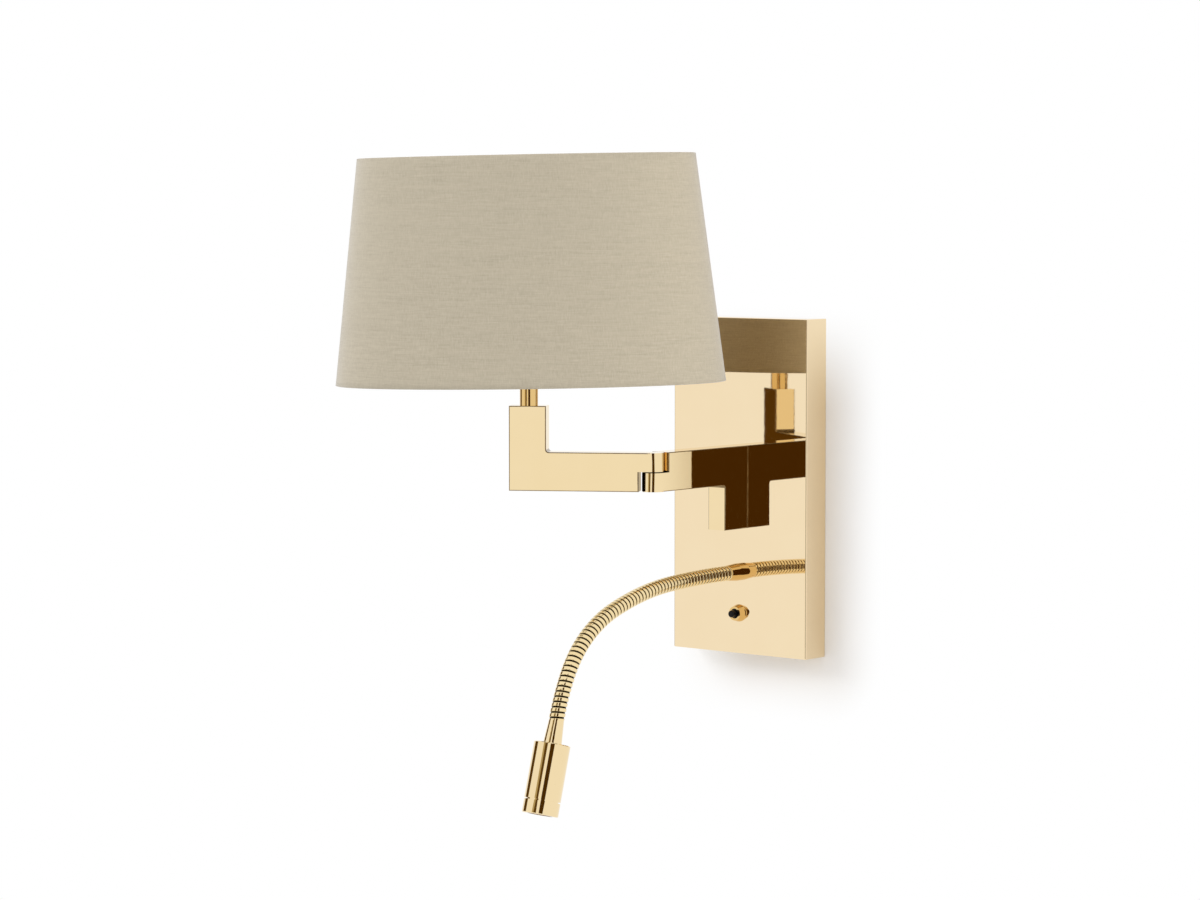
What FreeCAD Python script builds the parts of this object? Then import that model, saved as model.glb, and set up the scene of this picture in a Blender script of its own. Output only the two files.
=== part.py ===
import FreeCAD, Part
import math
import os
import re

import Sketcher

# Bedside wall reading lamp: an articulated arm with a tapered oval shade, and a
# gooseneck reading light below it, both on one shallow wall cover.
# The frame is the wall's: the origin is the centre of the wall fixings on the wall
# plane, +Y points into the wall, +Z up, and the lamp stands out towards -Y.
# Millimetres and degrees throughout.

DRIVING_SIZES = [
    # wall cover and its bracket
    ("plate_width", 119.0, "wall cover, across"),
    ("plate_height", 240.0, "wall cover, upright"),
    ("plate_depth", 22.5, "wall cover, out from the wall"),
    ("plate_wall", 1.5, "wall cover, sheet thickness"),
    ("plate_edge", 0.8, "wall cover, polished edge radius"),
    ("bracket_width", 104.0, "bracket, across"),
    ("bracket_sheet", 1.5, "bracket, sheet thickness"),
    ("bracket_tab", 14.0, "bracket, depth of its top and bottom tabs"),
    ("seat_gap", 0.3, "clearance between a loose piece and its seat"),
    ("fixing_across", 60.0, "wall fixings, spacing across"),
    ("fixing_upright", 120.0, "wall fixings, spacing upright"),
    ("fixing_radius", 2.5, "wall fixings, hole radius"),
    ("cable_entry_radius", 15.0, "bracket, mains entry radius"),
    ("cover_screw_across", 70.0, "cover screws, spacing"),
    ("cover_screw_radius", 2.0, "cover screws, radius"),
    ("cover_screw_length", 6.0, "cover screws, length"),
    ("cover_screw_depth", 8.0, "cover screws, distance from the wall"),
    # arms
    ("arm_thick", 15.2, "both arms, across"),
    ("bar_height", 27.0, "both arms, height of the level bar"),
    ("bar_bottom", 2.3, "both arms, underside of the bar above the origin"),
    ("arm_height", 59.0, "both arms, whole height of the L"),
    ("corner_width", 26.0, "both arms, width of the leg and of the upright"),
    ("arm_edge", 0.7, "both arms, edge radius"),
    ("arm_inside_radius", 2.0, "both arms, radius inside the L"),
    ("elbow_reach", 97.4, "cover's face to the elbow's axis"),
    ("stem_reach", 86.7, "elbow's axis to the stem's axis"),
    ("arm_turn", 32.3, "outer arm, turn from parallel to the wall, as it stands"),
    ("arm_channel_radius", 3.2, "both arms, wire channel radius"),
    ("arm_screw_high", 21.5, "upper arm screw above the origin"),
    ("arm_screw_low", 20.0, "lower arm screw below the origin"),
    ("arm_screw_radius", 2.5, "arm screws, shank radius"),
    ("arm_screw_grip", 10.0, "arm screws, length inside the arm"),
    ("arm_screw_head", 3.5, "arm screws, head height"),
    ("arm_screw_flats", 8.0, "arm screws, across flats"),
    ("stiffener_sheet", 2.0, "stiffener behind the arm, thickness"),
    ("stiffener_width", 34.0, "stiffener behind the arm, across"),
    ("stiffener_height", 62.0, "stiffener behind the arm, upright"),
    # elbow
    ("elbow_washer", 0.8, "friction washer between the two tongues"),
    ("inner_shoulder", 8.2, "elbow's axis to the inner arm's shoulder"),
    ("outer_shoulder", 9.2, "elbow's axis to the outer arm's shoulder"),
    ("pivot_radius", 4.5, "elbow pivot, radius"),
    ("pivot_bore", 2.8, "elbow pivot, wire bore radius"),
    ("pivot_cap", 2.4, "metal left above the pivot's blind bore"),
    ("screw_play", 0.1, "radial clearance of a screw through a sheet"),
    ("running_gap", 0.05, "radial clearance of turning and sliding fits"),
    ("fit_gap", 0.02, "radial clearance of screwed and pressed fits"),
    ("counterbore_radius", 6.6, "underside of the elbow, counterbore radius"),
    ("counterbore_depth", 4.2, "underside of the elbow, counterbore depth"),
    ("pivot_nut_height", 2.4, "elbow nut, height"),
    ("spring_washer", 1.0, "elbow spring washer, height"),
    # stem, lampholder and bulb
    ("stem_radius", 6.35, "stem tube, outside radius"),
    ("stem_length", 34.7, "stem tube, length"),
    ("nipple_radius", 5.0, "threaded tube, outside radius"),
    ("nipple_bore", 3.5, "threaded tube, bore radius"),
    ("nipple_depth", 22.0, "threaded tube, length inside the upright"),
    ("holder_radius", 14.0, "lampholder, outside radius"),
    ("holder_wall", 2.2, "lampholder, wall"),
    ("holder_base", 6.0, "lampholder, thickness of its threaded base"),
    ("holder_length", 36.0, "lampholder, length"),
    ("holder_flange", 17.5, "lampholder, shoulder radius"),
    ("holder_flange_top", 22.5, "lampholder, top of the shoulder above its base"),
    ("holder_flange_height", 2.5, "lampholder, shoulder height"),
    ("ring_nut_radius", 18.5, "shade ring nut, radius"),
    ("ring_nut_height", 6.5, "shade ring nut, height"),
    ("insert_height", 4.0, "lampholder insert, thickness"),
    ("insert_level", 8.5, "lampholder insert, above the holder's base"),
    ("sleeve_radius", 8.2, "contact sleeve, outside radius"),
    ("sleeve_wall", 0.8, "contact sleeve, wall"),
    ("sleeve_height", 19.0, "contact sleeve, height"),
    ("cap_radius", 7.0, "bulb cap, radius"),
    ("cap_length", 20.0, "bulb cap, length"),
    ("globe_radius", 22.5, "bulb globe, radius"),
    ("globe_rise", 29.0, "bulb cap's rim to the globe's centre"),
    ("globe_neck_radius", 16.2, "bulb glass, neck's radius where it meets the globe"),
    ("globe_neck_height", 14.2, "bulb glass, neck's height above the cap"),
    ("globe_wall", 1.0, "bulb glass, wall"),
    # shade
    ("shade_bottom_length", 273.0, "shade, long axis at the bottom"),
    ("shade_bottom_width", 164.0, "shade, short axis at the bottom"),
    ("shade_top_length", 236.0, "shade, long axis at the top"),
    ("shade_top_width", 142.0, "shade, short axis at the top"),
    ("shade_height", 157.3, "shade, height"),
    ("shade_skin", 1.2, "shade, lined fabric thickness"),
    ("shade_drop", 42.2, "shade, bottom edge below the carrier ring"),
    ("shade_lean", 1.05, "shade, lean on its ring as it stands"),
    ("rim_wire", 1.5, "shade rims, wire radius"),
    ("spoke_wire", 1.2, "shade spokes, wire radius"),
    ("rim_inset", 1.9, "shade rims, wire's centre inside the shade's edge"),
    ("carrier_sheet", 1.5, "shade carrier ring, thickness"),
    ("carrier_play", 0.4, "shade carrier ring, gap above and below"),
    # gooseneck
    ("neck_level", 61.4, "gooseneck's axis below the origin, at the cover"),
    ("collar_base_radius", 6.25, "gooseneck collar, radius at the cover"),
    ("collar_tip_radius", 5.4, "gooseneck collar, radius at the hose"),
    ("collar_length", 14.2, "gooseneck collar, length"),
    ("collar_land", 4.0, "gooseneck collar, straight length at the cover"),
    ("spigot_radius", 4.9, "gooseneck spigot, radius"),
    ("neck_nut_height", 4.0, "gooseneck nut, height"),
    ("neck_nut_flats", 14.0, "gooseneck nut, across flats"),
    ("spigot_end", 1.5, "gooseneck spigot, length past its nut"),
    ("hose_radius", 5.35, "hose, radius over its ribs"),
    ("hose_root", 4.55, "hose, radius in its grooves"),
    ("hose_bore", 2.8, "hose, bore radius"),
    ("hose_part", 31.8, "hose, length between two bending places"),
    # reading head
    ("cone_length", 16.3, "head cone, length"),
    ("cone_base", 6.3, "head cone, radius at the head"),
    ("cone_tip", 5.1, "head cone, radius at the hose"),
    ("head_radius", 12.4, "head, radius"),
    ("head_wall", 1.4, "head, wall"),
    ("head_back", 3.0, "head, thickness of its back"),
    ("head_length", 38.3, "head, length without the bezel"),
    ("head_edge", 0.5, "head and bezel, chamfer"),
    ("bezel_length", 10.0, "bezel, length"),
    ("bezel_gap", 0.8, "groove between head and bezel"),
    ("bezel_spigot", 5.0, "bezel, length screwed inside the head"),
    ("bezel_spigot_wall", 1.3, "bezel, wall of the screwed part"),
    ("bezel_lip", 1.2, "bezel, lip in front of the lens"),
    ("lens_height", 6.0, "lens, height"),
    ("board_sheet", 1.6, "LED board, thickness"),
    ("emitter_radius", 3.0, "LED emitter, radius"),
    ("emitter_height", 1.0, "LED emitter, height"),
    ("heatsink_length", 14.0, "heat sink, length"),
    # push switch
    ("switch_level", 91.0, "push switch's axis below the origin"),
    ("switch_nut_base", 6.2, "switch nut, radius at the cover"),
    ("switch_nut_front", 5.0, "switch nut, radius at its front"),
    ("switch_nut_length", 5.2, "switch nut, length"),
    ("switch_nut_land", 0.8, "switch nut, straight length at the cover"),
    ("bushing_radius", 3.55, "switch bushing, radius"),
    ("button_radius", 2.5, "push button, radius"),
    ("button_stand", 4.5, "push button, height above the bushing"),
    ("button_flange", 3.9, "push button, flange radius"),
    ("button_flange_height", 1.5, "push button, flange height"),
    ("switch_case", 13.0, "switch case, across"),
    ("switch_case_length", 11.0, "switch case, length behind the cover's sheet"),
    ("switch_case_wall", 1.5, "switch case, front wall"),
    ("switch_base_height", 1.5, "switch base, thickness"),
    ("terminal_length", 3.5, "switch terminals, length"),
    # electrical pieces on the bracket
    ("driver_width", 46.0, "LED driver, across"),
    ("driver_height", 30.0, "LED driver, upright"),
    ("driver_depth", 15.0, "LED driver, out from the bracket"),
    ("driver_drop", 32.0, "LED driver, centre below the cover's top"),
    ("terminal_pitch", 10.0, "terminal block, pitch of its ways"),
    ("terminal_ways", 3, "terminal block, number of ways"),
    ("terminal_height", 16.0, "terminal block, upright"),
    ("terminal_depth", 12.0, "terminal block, out from the bracket"),
    ("terminal_drop", 74.0, "terminal block, centre below the cover's top"),
    ("terminal_hole", 1.9, "terminal block, wire hole radius"),
    ("earth_offset", 38.0, "earth screw, distance beside the origin"),
    ("earth_screw_radius", 2.0, "earth screw, shank radius"),
    ("earth_screw_head", 3.6, "earth screw, head radius"),
    ("earth_screw_height", 2.0, "earth screw, head height"),
]

# Turn of each part of the hose, in order from the cover, as the gooseneck stands.
HOSE_TURNS = [2.0, 2.0, 8.0, 7.0, 19.0, 24.0, 12.5]
RIBS_IN_PART = 9

# One rib and its groove: how far along the pitch, and where between root and crest.
RIB_SECTIONS = [(0.0, 0.0), (0.18, 0.72), (0.5, 1.0), (0.82, 0.72)]

WALL_POINTING = FreeCAD.Rotation(FreeCAD.Vector(1, 0, 0), 90)

doc = FreeCAD.newDocument("bedside_wall_lamp")
sheet = doc.addObject("Spreadsheet::Sheet", "Sizes")
for row, (alias, value, meaning) in enumerate(DRIVING_SIZES, start=1):
    sheet.set(f"A{row}", meaning)
    sheet.set(f"B{row}", str(value))
    sheet.setAlias(f"B{row}", alias)
doc.recompute()

ALIASES = {alias for alias, value, meaning in DRIVING_SIZES}
sub_parts = []


# ---------------------------------------------------------------- helpers


def size(alias):
    """The value in the sheet's cell of that alias."""
    return float(getattr(sheet, alias))


def linked(expression):
    """The expression with the sheet's name put before each alias in it."""
    def with_sheet(match):
        word = match.group(0)
        return f"Sizes.{word}" if word in ALIASES else word
    return re.sub(r"[a-z][a-z_0-9]*", with_sheet, str(expression))


def bind(thing, prop, expression):
    """Binds a property of a document object to an expression on the sheet."""
    thing.setExpression(prop, linked(expression))


def place(thing, x="0", y="0", z="0", rotation=None):
    """Gives a sub-part its place; x, y and z are expressions on the sheet."""
    if rotation is not None:
        thing.Placement = FreeCAD.Placement(FreeCAD.Vector(), rotation)
    bind(thing, ".Placement.Base.x", x)
    bind(thing, ".Placement.Base.y", y)
    bind(thing, ".Placement.Base.z", z)
    return thing


def sub_part(thing, label):
    """Names a finished sub-part and lists it for export."""
    thing.Label = label
    sub_parts.append(thing)
    return thing


def new_body(label):
    return sub_part(doc.addObject("PartDesign::Body", label), label)


def origin_plane(body, role):
    return next(plane for plane in body.Origin.OriginFeatures if plane.Role == role)


def new_sketch(body, role, offset="0"):
    """A sketch on one of the body's own planes, moved by offset along its normal."""
    sketch = body.newObject("Sketcher::SketchObject", f"{body.Name}_sketch")
    sketch.AttachmentSupport = [(origin_plane(body, role), "")]
    sketch.MapMode = "FlatFace"
    bind(sketch, ".AttachmentOffset.Base.z", offset)
    return sketch


def pin_point(sketch, geometry, point, x, y):
    """Fixes a point of the sketch at x, y from its origin."""
    for kind, expression in (("DistanceX", x), ("DistanceY", y)):
        index = sketch.addConstraint(
            Sketcher.Constraint(kind, -1, 1, geometry, point, 1.0)
        )
        bind(sketch, f"Constraints[{index}]", expression)


def add_polygon(sketch, points):
    """A closed outline through points given as pairs of expressions."""
    first = sketch.GeometryCount
    count = len(points)
    for i in range(count):
        start = FreeCAD.Vector(i, i * i, 0)
        end = FreeCAD.Vector(i + 1, (i + 1) ** 2, 0)
        sketch.addGeometry(Part.LineSegment(start, end), False)
    for i, (x, y) in enumerate(points):
        following = first + (i + 1) % count
        sketch.addConstraint(
            Sketcher.Constraint("Coincident", first + i, 2, following, 1)
        )
        pin_point(sketch, first + i, 1, x, y)
    return sketch


def add_rectangle(sketch, left, bottom, right, top):
    corners = [(left, bottom), (right, bottom), (right, top), (left, top)]
    return add_polygon(sketch, corners)


def add_circle(sketch, x, y, radius):
    circle = sketch.GeometryCount
    up = FreeCAD.Vector(0, 0, 1)
    sketch.addGeometry(Part.Circle(FreeCAD.Vector(1, 1, 0), up, 2.0), False)
    pin_point(sketch, circle, 3, x, y)
    index = sketch.addConstraint(Sketcher.Constraint("Radius", circle, 2.0))
    bind(sketch, f"Constraints[{index}]", radius)
    return sketch


def pad(body, sketch, length, symmetric=False):
    feature = body.newObject("PartDesign::Pad", f"{body.Name}_pad")
    feature.Profile = sketch
    bind(feature, "Length", length)
    if symmetric:
        feature.SideType = "Symmetric"
    return feature


def pocket(body, sketch, length, towards_normal=False, symmetric=False):
    """Cuts the sketch into the body, away from its normal, and makes sure it cut."""
    doc.recompute()
    before = body.Shape.Volume
    feature = body.newObject("PartDesign::Pocket", f"{body.Name}_pocket")
    feature.Profile = sketch
    bind(feature, "Length", length)
    feature.Reversed = towards_normal
    if symmetric:
        feature.SideType = "Symmetric"
    doc.recompute()
    if body.Shape.Volume >= before:
        raise ValueError(f"{feature.Name} in {body.Label} cut nothing")
    return feature


def turned(label, outline):
    """A body turned about its own Z axis, from an outline of (radius, level) pairs."""
    body = new_body(label)
    sketch = add_polygon(new_sketch(body, "XZ_Plane"), outline)
    feature = body.newObject("PartDesign::Revolution", f"{label}_turn")
    feature.Profile = sketch
    feature.ReferenceAxis = (sketch, ["V_Axis"])
    feature.Angle = 360
    return body


def tube(label, inside, outside, bottom, top):
    corners = [(inside, bottom), (outside, bottom), (outside, top), (inside, top)]
    return turned(label, corners)


def disc(label, outside, bottom, top):
    return tube(label, "0", outside, bottom, top)


def edges_where(shape, wanted):
    """Names of the edges for which wanted(edge) is true."""
    return [
        f"Edge{index}" for index, edge in enumerate(shape.Edges, start=1) if wanted(edge)
    ]


def round_edges(body, radius, wanted):
    """Rounds the wanted edges of the body as it stands."""
    doc.recompute()
    base = body.Tip
    names = edges_where(base.Shape, wanted)
    if not names:
        raise ValueError(f"no edge to round on {body.Label}")
    feature = body.newObject("PartDesign::Fillet", f"{body.Name}_fillet")
    feature.Base = (base, names)
    bind(feature, "Radius", radius)
    return feature


def hexagon(sketch, flats, x="0", y="0"):
    """A hexagon given across its flats, with two corners on the sketch's X axis."""
    corner = f"({flats}) / sqrt(3)"
    half = f"({flats}) / 2"
    side = f"({flats}) / (2 * sqrt(3))"
    corners = [
        (f"{x} + {corner}", y),
        (f"{x} + {side}", f"{y} + {half}"),
        (f"{x} - {side}", f"{y} + {half}"),
        (f"{x} - {corner}", y),
        (f"{x} - {side}", f"{y} - {half}"),
        (f"{x} + {side}", f"{y} - {half}"),
    ]
    return add_polygon(sketch, corners)


def lies_at(value, wanted):
    return abs(value - wanted) < 1e-4


# ---------------------------------------------------------------- wall cover

COVER_FACE = "plate_depth"
SHEET_INSIDE = "(plate_depth - plate_wall)"
LOWER_HALF_TOP = "(bar_bottom + (bar_height - elbow_washer) / 2)"
UPPER_HALF_BOTTOM = "(bar_bottom + (bar_height + elbow_washer) / 2)"
BAR_TOP = "(bar_bottom + bar_height)"
LOWER_CHANNEL = f"((bar_bottom + {LOWER_HALF_TOP}) / 2)"
UPPER_CHANNEL = f"(({UPPER_HALF_BOTTOM} + {BAR_TOP}) / 2)"
LEG_BOTTOM = "(bar_bottom + bar_height - arm_height)"
UPRIGHT_TOP = "(bar_bottom + arm_height)"


def build_wall_plate():
    """Folded sheet cover: a front and four sides, open to the wall."""
    body = new_body("wall_plate")
    block = add_rectangle(
        new_sketch(body, "XZ_Plane"),
        "-plate_width / 2", "-plate_height / 2", "plate_width / 2", "plate_height / 2",
    )
    pad(body, block, COVER_FACE)
    face = -size("plate_depth")

    def outer_edge(edge):
        box = edge.BoundBox
        on_face = lies_at(box.YMin, face) and lies_at(box.YMax, face)
        along_depth = lies_at(box.YMin, face) and lies_at(box.YMax, 0)
        return on_face or along_depth

    round_edges(body, "plate_edge", outer_edge)
    hollow = add_rectangle(
        new_sketch(body, "XZ_Plane", SHEET_INSIDE),
        "-plate_width / 2 + plate_wall", "-plate_height / 2 + plate_wall",
        "plate_width / 2 - plate_wall", "plate_height / 2 - plate_wall",
    )
    pocket(body, hollow, SHEET_INSIDE)
    holes = new_sketch(body, "XZ_Plane", COVER_FACE)
    add_circle(holes, "0", "-neck_level", "spigot_radius + fit_gap")
    add_circle(holes, "0", "-switch_level", "bushing_radius + fit_gap")
    add_circle(holes, "0", "arm_screw_high", "arm_screw_radius + screw_play")
    add_circle(holes, "0", "-arm_screw_low", "arm_screw_radius + screw_play")
    add_circle(holes, "0", LOWER_CHANNEL, "arm_channel_radius")
    pocket(body, holes, "plate_wall")
    screw_holes = new_sketch(body, "XY_Plane", "-plate_height / 2")
    for side in ("-", ""):
        across = f"{side}cover_screw_across / 2"
        add_circle(screw_holes, across, "-cover_screw_depth", "cover_screw_radius + running_gap")
    pocket(body, screw_holes, "plate_wall", towards_normal=True)
    return body


TAB_EDGE = "(plate_height / 2 - plate_wall - seat_gap)"


def build_bracket():
    """Steel bracket on the wall: a plate with a tab folded out at its top and bottom."""
    body = new_body("mounting_bracket")
    back = add_rectangle(
        new_sketch(body, "XZ_Plane"),
        "-bracket_width / 2", f"-{TAB_EDGE}", "bracket_width / 2", TAB_EDGE,
    )
    pad(body, back, "bracket_sheet")
    for low, high in (
        (TAB_EDGE + " - bracket_sheet", TAB_EDGE),
        ("-" + TAB_EDGE, "-" + TAB_EDGE + " + bracket_sheet"),
    ):
        tab = add_rectangle(
            new_sketch(body, "XZ_Plane"),
            "-bracket_width / 2", low, "bracket_width / 2", high,
        )
        pad(body, tab, "bracket_tab")
    holes = new_sketch(body, "XZ_Plane", "bracket_sheet")
    add_circle(holes, "0", "0", "cable_entry_radius")
    for across in ("-fixing_across / 2", "fixing_across / 2"):
        for level in ("-fixing_upright / 2", "fixing_upright / 2"):
            add_circle(holes, across, level, "fixing_radius")
    add_circle(holes, "earth_offset", "0", "earth_screw_radius + fit_gap")
    pocket(body, holes, "bracket_sheet")
    screw_holes = new_sketch(body, "XY_Plane", f"-{TAB_EDGE}")
    for side in ("-", ""):
        across = f"{side}cover_screw_across / 2"
        add_circle(screw_holes, across, "-cover_screw_depth", "cover_screw_radius + fit_gap")
    pocket(body, screw_holes, "bracket_sheet", towards_normal=True)
    return body


def build_cover_screws():
    """Two headless screws, flush with the cover's underside."""
    body = new_body("cover_screws")
    for side in ("-", ""):
        shank = add_circle(
            new_sketch(body, "XY_Plane", "-plate_height / 2"),
            f"{side}cover_screw_across / 2", "-cover_screw_depth", "cover_screw_radius",
        )
        pad(body, shank, "cover_screw_length")
    body.AllowCompound = True
    doc.recompute()
    sockets = new_sketch(body, "XY_Plane", "-plate_height / 2")
    for side in ("-", ""):
        hexagon(
            sockets, "cover_screw_radius",
            f"{side}cover_screw_across / 2", "-cover_screw_depth",
        )
    pocket(body, sockets, "cover_screw_length / 3", towards_normal=True)
    return body


# ---------------------------------------------------------------- arms and elbow


def build_inner_arm():
    """The fixed L: its leg against the cover, its bar out to the elbow's lower tongue."""
    body = new_body("inner_arm")
    axis = "-plate_depth - elbow_reach"
    shoulder = f"{axis} + inner_shoulder"
    leg_side = "-plate_depth - corner_width"
    outline = [
        (axis, "bar_bottom"),
        (leg_side, "bar_bottom"),
        (leg_side, LEG_BOTTOM),
        ("-plate_depth", LEG_BOTTOM),
        ("-plate_depth", BAR_TOP),
        (shoulder, BAR_TOP),
        (shoulder, LOWER_HALF_TOP),
        (axis, LOWER_HALF_TOP),
    ]
    pad(body, add_polygon(new_sketch(body, "YZ_Plane"), outline), "arm_thick", symmetric=True)
    half = size("arm_thick") / 2
    back = -size("plate_depth")
    tip = back - size("elbow_reach")
    inside = back - size("corner_width")
    tongue_top = size("bar_bottom") + (size("bar_height") - size("elbow_washer")) / 2

    def inside_corner(edge):
        box = edge.BoundBox
        return (
            lies_at(box.YMin, inside) and lies_at(box.YMax, inside)
            and lies_at(box.ZMin, size("bar_bottom")) and lies_at(box.ZMax, size("bar_bottom"))
        )

    round_edges(body, "arm_inside_radius", inside_corner)

    def side_edge(edge):
        box = edge.BoundBox
        on_side = lies_at(abs(box.XMin), half) and lies_at(box.XMin, box.XMax)
        at_the_tip = lies_at(box.YMin, tip) and lies_at(box.YMax, tip)
        on_the_tongue = lies_at(box.ZMin, tongue_top) and lies_at(box.ZMax, tongue_top)
        return on_side and not at_the_tip and not on_the_tongue

    round_edges(body, "arm_edge", side_edge)
    tongue = add_circle(
        new_sketch(body, "XY_Plane", "bar_bottom"), "0", axis, "arm_thick / 2"
    )
    pad(body, tongue, f"{LOWER_HALF_TOP} - bar_bottom")
    pivot_hole = add_circle(
        new_sketch(body, "XY_Plane", "bar_bottom"), "0", axis, "pivot_radius + running_gap"
    )
    pocket(body, pivot_hole, "bar_height", towards_normal=True)
    counterbore = add_circle(
        new_sketch(body, "XY_Plane", "bar_bottom"), "0", axis, "counterbore_radius"
    )
    pocket(body, counterbore, "counterbore_depth", towards_normal=True)
    channel = add_circle(
        new_sketch(body, "XZ_Plane", COVER_FACE), "0", LOWER_CHANNEL, "arm_channel_radius"
    )
    pocket(body, channel, "elbow_reach", towards_normal=True)
    screw_holes = new_sketch(body, "XZ_Plane", COVER_FACE)
    add_circle(screw_holes, "0", "arm_screw_high", "arm_screw_radius + fit_gap")
    add_circle(screw_holes, "0", "-arm_screw_low", "arm_screw_radius + fit_gap")
    pocket(body, screw_holes, "arm_screw_grip + arm_screw_radius", towards_normal=True)
    return body


def build_outer_arm():
    """The swinging L, from the elbow's axis along -X to the upright that holds the stem."""
    body = new_body("outer_arm")
    end = "-stem_reach - corner_width / 2"
    upright_side = "-stem_reach + corner_width / 2"
    outline = [
        (end, "bar_bottom"),
        ("-outer_shoulder", "bar_bottom"),
        ("-outer_shoulder", UPPER_HALF_BOTTOM),
        ("0", UPPER_HALF_BOTTOM),
        ("0", BAR_TOP),
        (upright_side, BAR_TOP),
        (upright_side, UPRIGHT_TOP),
        (end, UPRIGHT_TOP),
    ]
    pad(body, add_polygon(new_sketch(body, "XZ_Plane"), outline), "arm_thick", symmetric=True)
    half = size("arm_thick") / 2
    inside = size("corner_width") / 2 - size("stem_reach")
    bar_top = size("bar_bottom") + size("bar_height")
    tongue_bottom = bar_top - (size("bar_height") - size("elbow_washer")) / 2

    def inside_corner(edge):
        box = edge.BoundBox
        return (
            lies_at(box.XMin, inside) and lies_at(box.XMax, inside)
            and lies_at(box.ZMin, bar_top) and lies_at(box.ZMax, bar_top)
        )

    round_edges(body, "arm_inside_radius", inside_corner)

    def side_edge(edge):
        box = edge.BoundBox
        on_side = lies_at(abs(box.YMin), half) and lies_at(box.YMin, box.YMax)
        at_the_elbow = lies_at(box.XMin, 0) and lies_at(box.XMax, 0)
        on_the_tongue = lies_at(box.ZMin, tongue_bottom) and lies_at(box.ZMax, tongue_bottom)
        return on_side and not at_the_elbow and not on_the_tongue

    round_edges(body, "arm_edge", side_edge)
    tongue = add_circle(
        new_sketch(body, "XY_Plane", UPPER_HALF_BOTTOM), "0", "0", "arm_thick / 2"
    )
    pad(body, tongue, f"{BAR_TOP} - {UPPER_HALF_BOTTOM}")
    pivot_hole = add_circle(
        new_sketch(body, "XY_Plane", UPPER_HALF_BOTTOM), "0", "0", "pivot_radius + fit_gap"
    )
    pocket(body, pivot_hole, f"{BAR_TOP} - pivot_cap - {UPPER_HALF_BOTTOM}", towards_normal=True)
    channel = add_circle(
        new_sketch(body, "YZ_Plane"), "0", UPPER_CHANNEL, "arm_channel_radius"
    )
    pocket(body, channel, "stem_reach")
    rise = add_circle(
        new_sketch(body, "XY_Plane", UPPER_CHANNEL), "-stem_reach", "0", "arm_channel_radius"
    )
    pocket(body, rise, "arm_height", towards_normal=True)
    nipple_hole = add_circle(
        new_sketch(body, "XY_Plane", UPRIGHT_TOP), "-stem_reach", "0", "nipple_radius + fit_gap"
    )
    pocket(body, nipple_hole, "nipple_depth")
    return body


def build_elbow():
    """Hollow pivot fixed in the upper tongue, its nut and washers."""
    nut_bottom = "(bar_bottom + counterbore_depth - spring_washer - pivot_nut_height)"
    nut_top = "(bar_bottom + counterbore_depth - spring_washer)"
    recess_top = "(bar_bottom + counterbore_depth)"
    pivot_top = f"{BAR_TOP} - pivot_cap - fit_gap"
    pivot = tube("elbow_pivot", "pivot_bore", "pivot_radius", nut_bottom, pivot_top)
    upper_window = add_circle(
        new_sketch(pivot, "YZ_Plane"), "0", UPPER_CHANNEL, "pivot_bore - seat_gap"
    )
    pocket(pivot, upper_window, "pivot_radius * 2")
    lower_window = add_circle(
        new_sketch(pivot, "XZ_Plane"), "0", LOWER_CHANNEL, "pivot_bore - seat_gap"
    )
    pocket(pivot, lower_window, "pivot_radius * 2")
    nut = tube(
        "elbow_nut", "pivot_radius + fit_gap", "counterbore_radius - seat_gap", nut_bottom, nut_top
    )
    slot = add_rectangle(
        new_sketch(nut, "XY_Plane", nut_bottom),
        "-counterbore_radius", "-pivot_bore / 3", "counterbore_radius", "pivot_bore / 3",
    )
    pocket(nut, slot, "pivot_nut_height / 2", towards_normal=True)
    spring = tube(
        "elbow_spring_washer", "pivot_radius + 2 * running_gap",
        "counterbore_radius - seat_gap", nut_top, recess_top,
    )
    friction = tube(
        "elbow_friction_washer", "pivot_radius + 2 * running_gap",
        "arm_thick / 2 - seat_gap", LOWER_HALF_TOP, UPPER_HALF_BOTTOM,
    )
    return [pivot, nut, spring, friction]


def build_stiffener():
    """Steel plate inside the cover that spreads the arm's load."""
    body = new_body("arm_stiffener")
    middle = f"({BAR_TOP} + {LEG_BOTTOM}) / 2"
    outline = add_rectangle(
        new_sketch(body, "XZ_Plane", SHEET_INSIDE),
        "-stiffener_width / 2", f"{middle} - stiffener_height / 2",
        "stiffener_width / 2", f"{middle} + stiffener_height / 2",
    )
    feature = pad(body, outline, "stiffener_sheet")
    feature.Reversed = True
    holes = new_sketch(body, "XZ_Plane", SHEET_INSIDE)
    add_circle(holes, "0", "arm_screw_high", "arm_screw_radius + screw_play")
    add_circle(holes, "0", "-arm_screw_low", "arm_screw_radius + screw_play")
    add_circle(holes, "0", LOWER_CHANNEL, "arm_channel_radius")
    pocket(body, holes, "stiffener_sheet")
    return body


def build_arm_screws():
    """Two hexagon screws that pull the arm onto the cover from inside."""
    body = new_body("arm_screws")
    head_seat = "plate_depth - plate_wall - stiffener_sheet"
    for level in ("arm_screw_high", "-arm_screw_low"):
        head = hexagon(new_sketch(body, "XZ_Plane", head_seat), "arm_screw_flats", "0", level)
        feature = pad(body, head, "arm_screw_head")
        feature.Reversed = True
        body.AllowCompound = True
        shank = add_circle(
            new_sketch(body, "XZ_Plane", head_seat), "0", level, "arm_screw_radius"
        )
        pad(body, shank, "stiffener_sheet + plate_wall + arm_screw_grip")
    return body


# ---------------------------------------------------------------- stem, holder, bulb

HOLDER_LEVEL = f"({UPRIGHT_TOP} + stem_length)"
CAP_LEVEL = "(insert_level + insert_height + seat_gap)"


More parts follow.
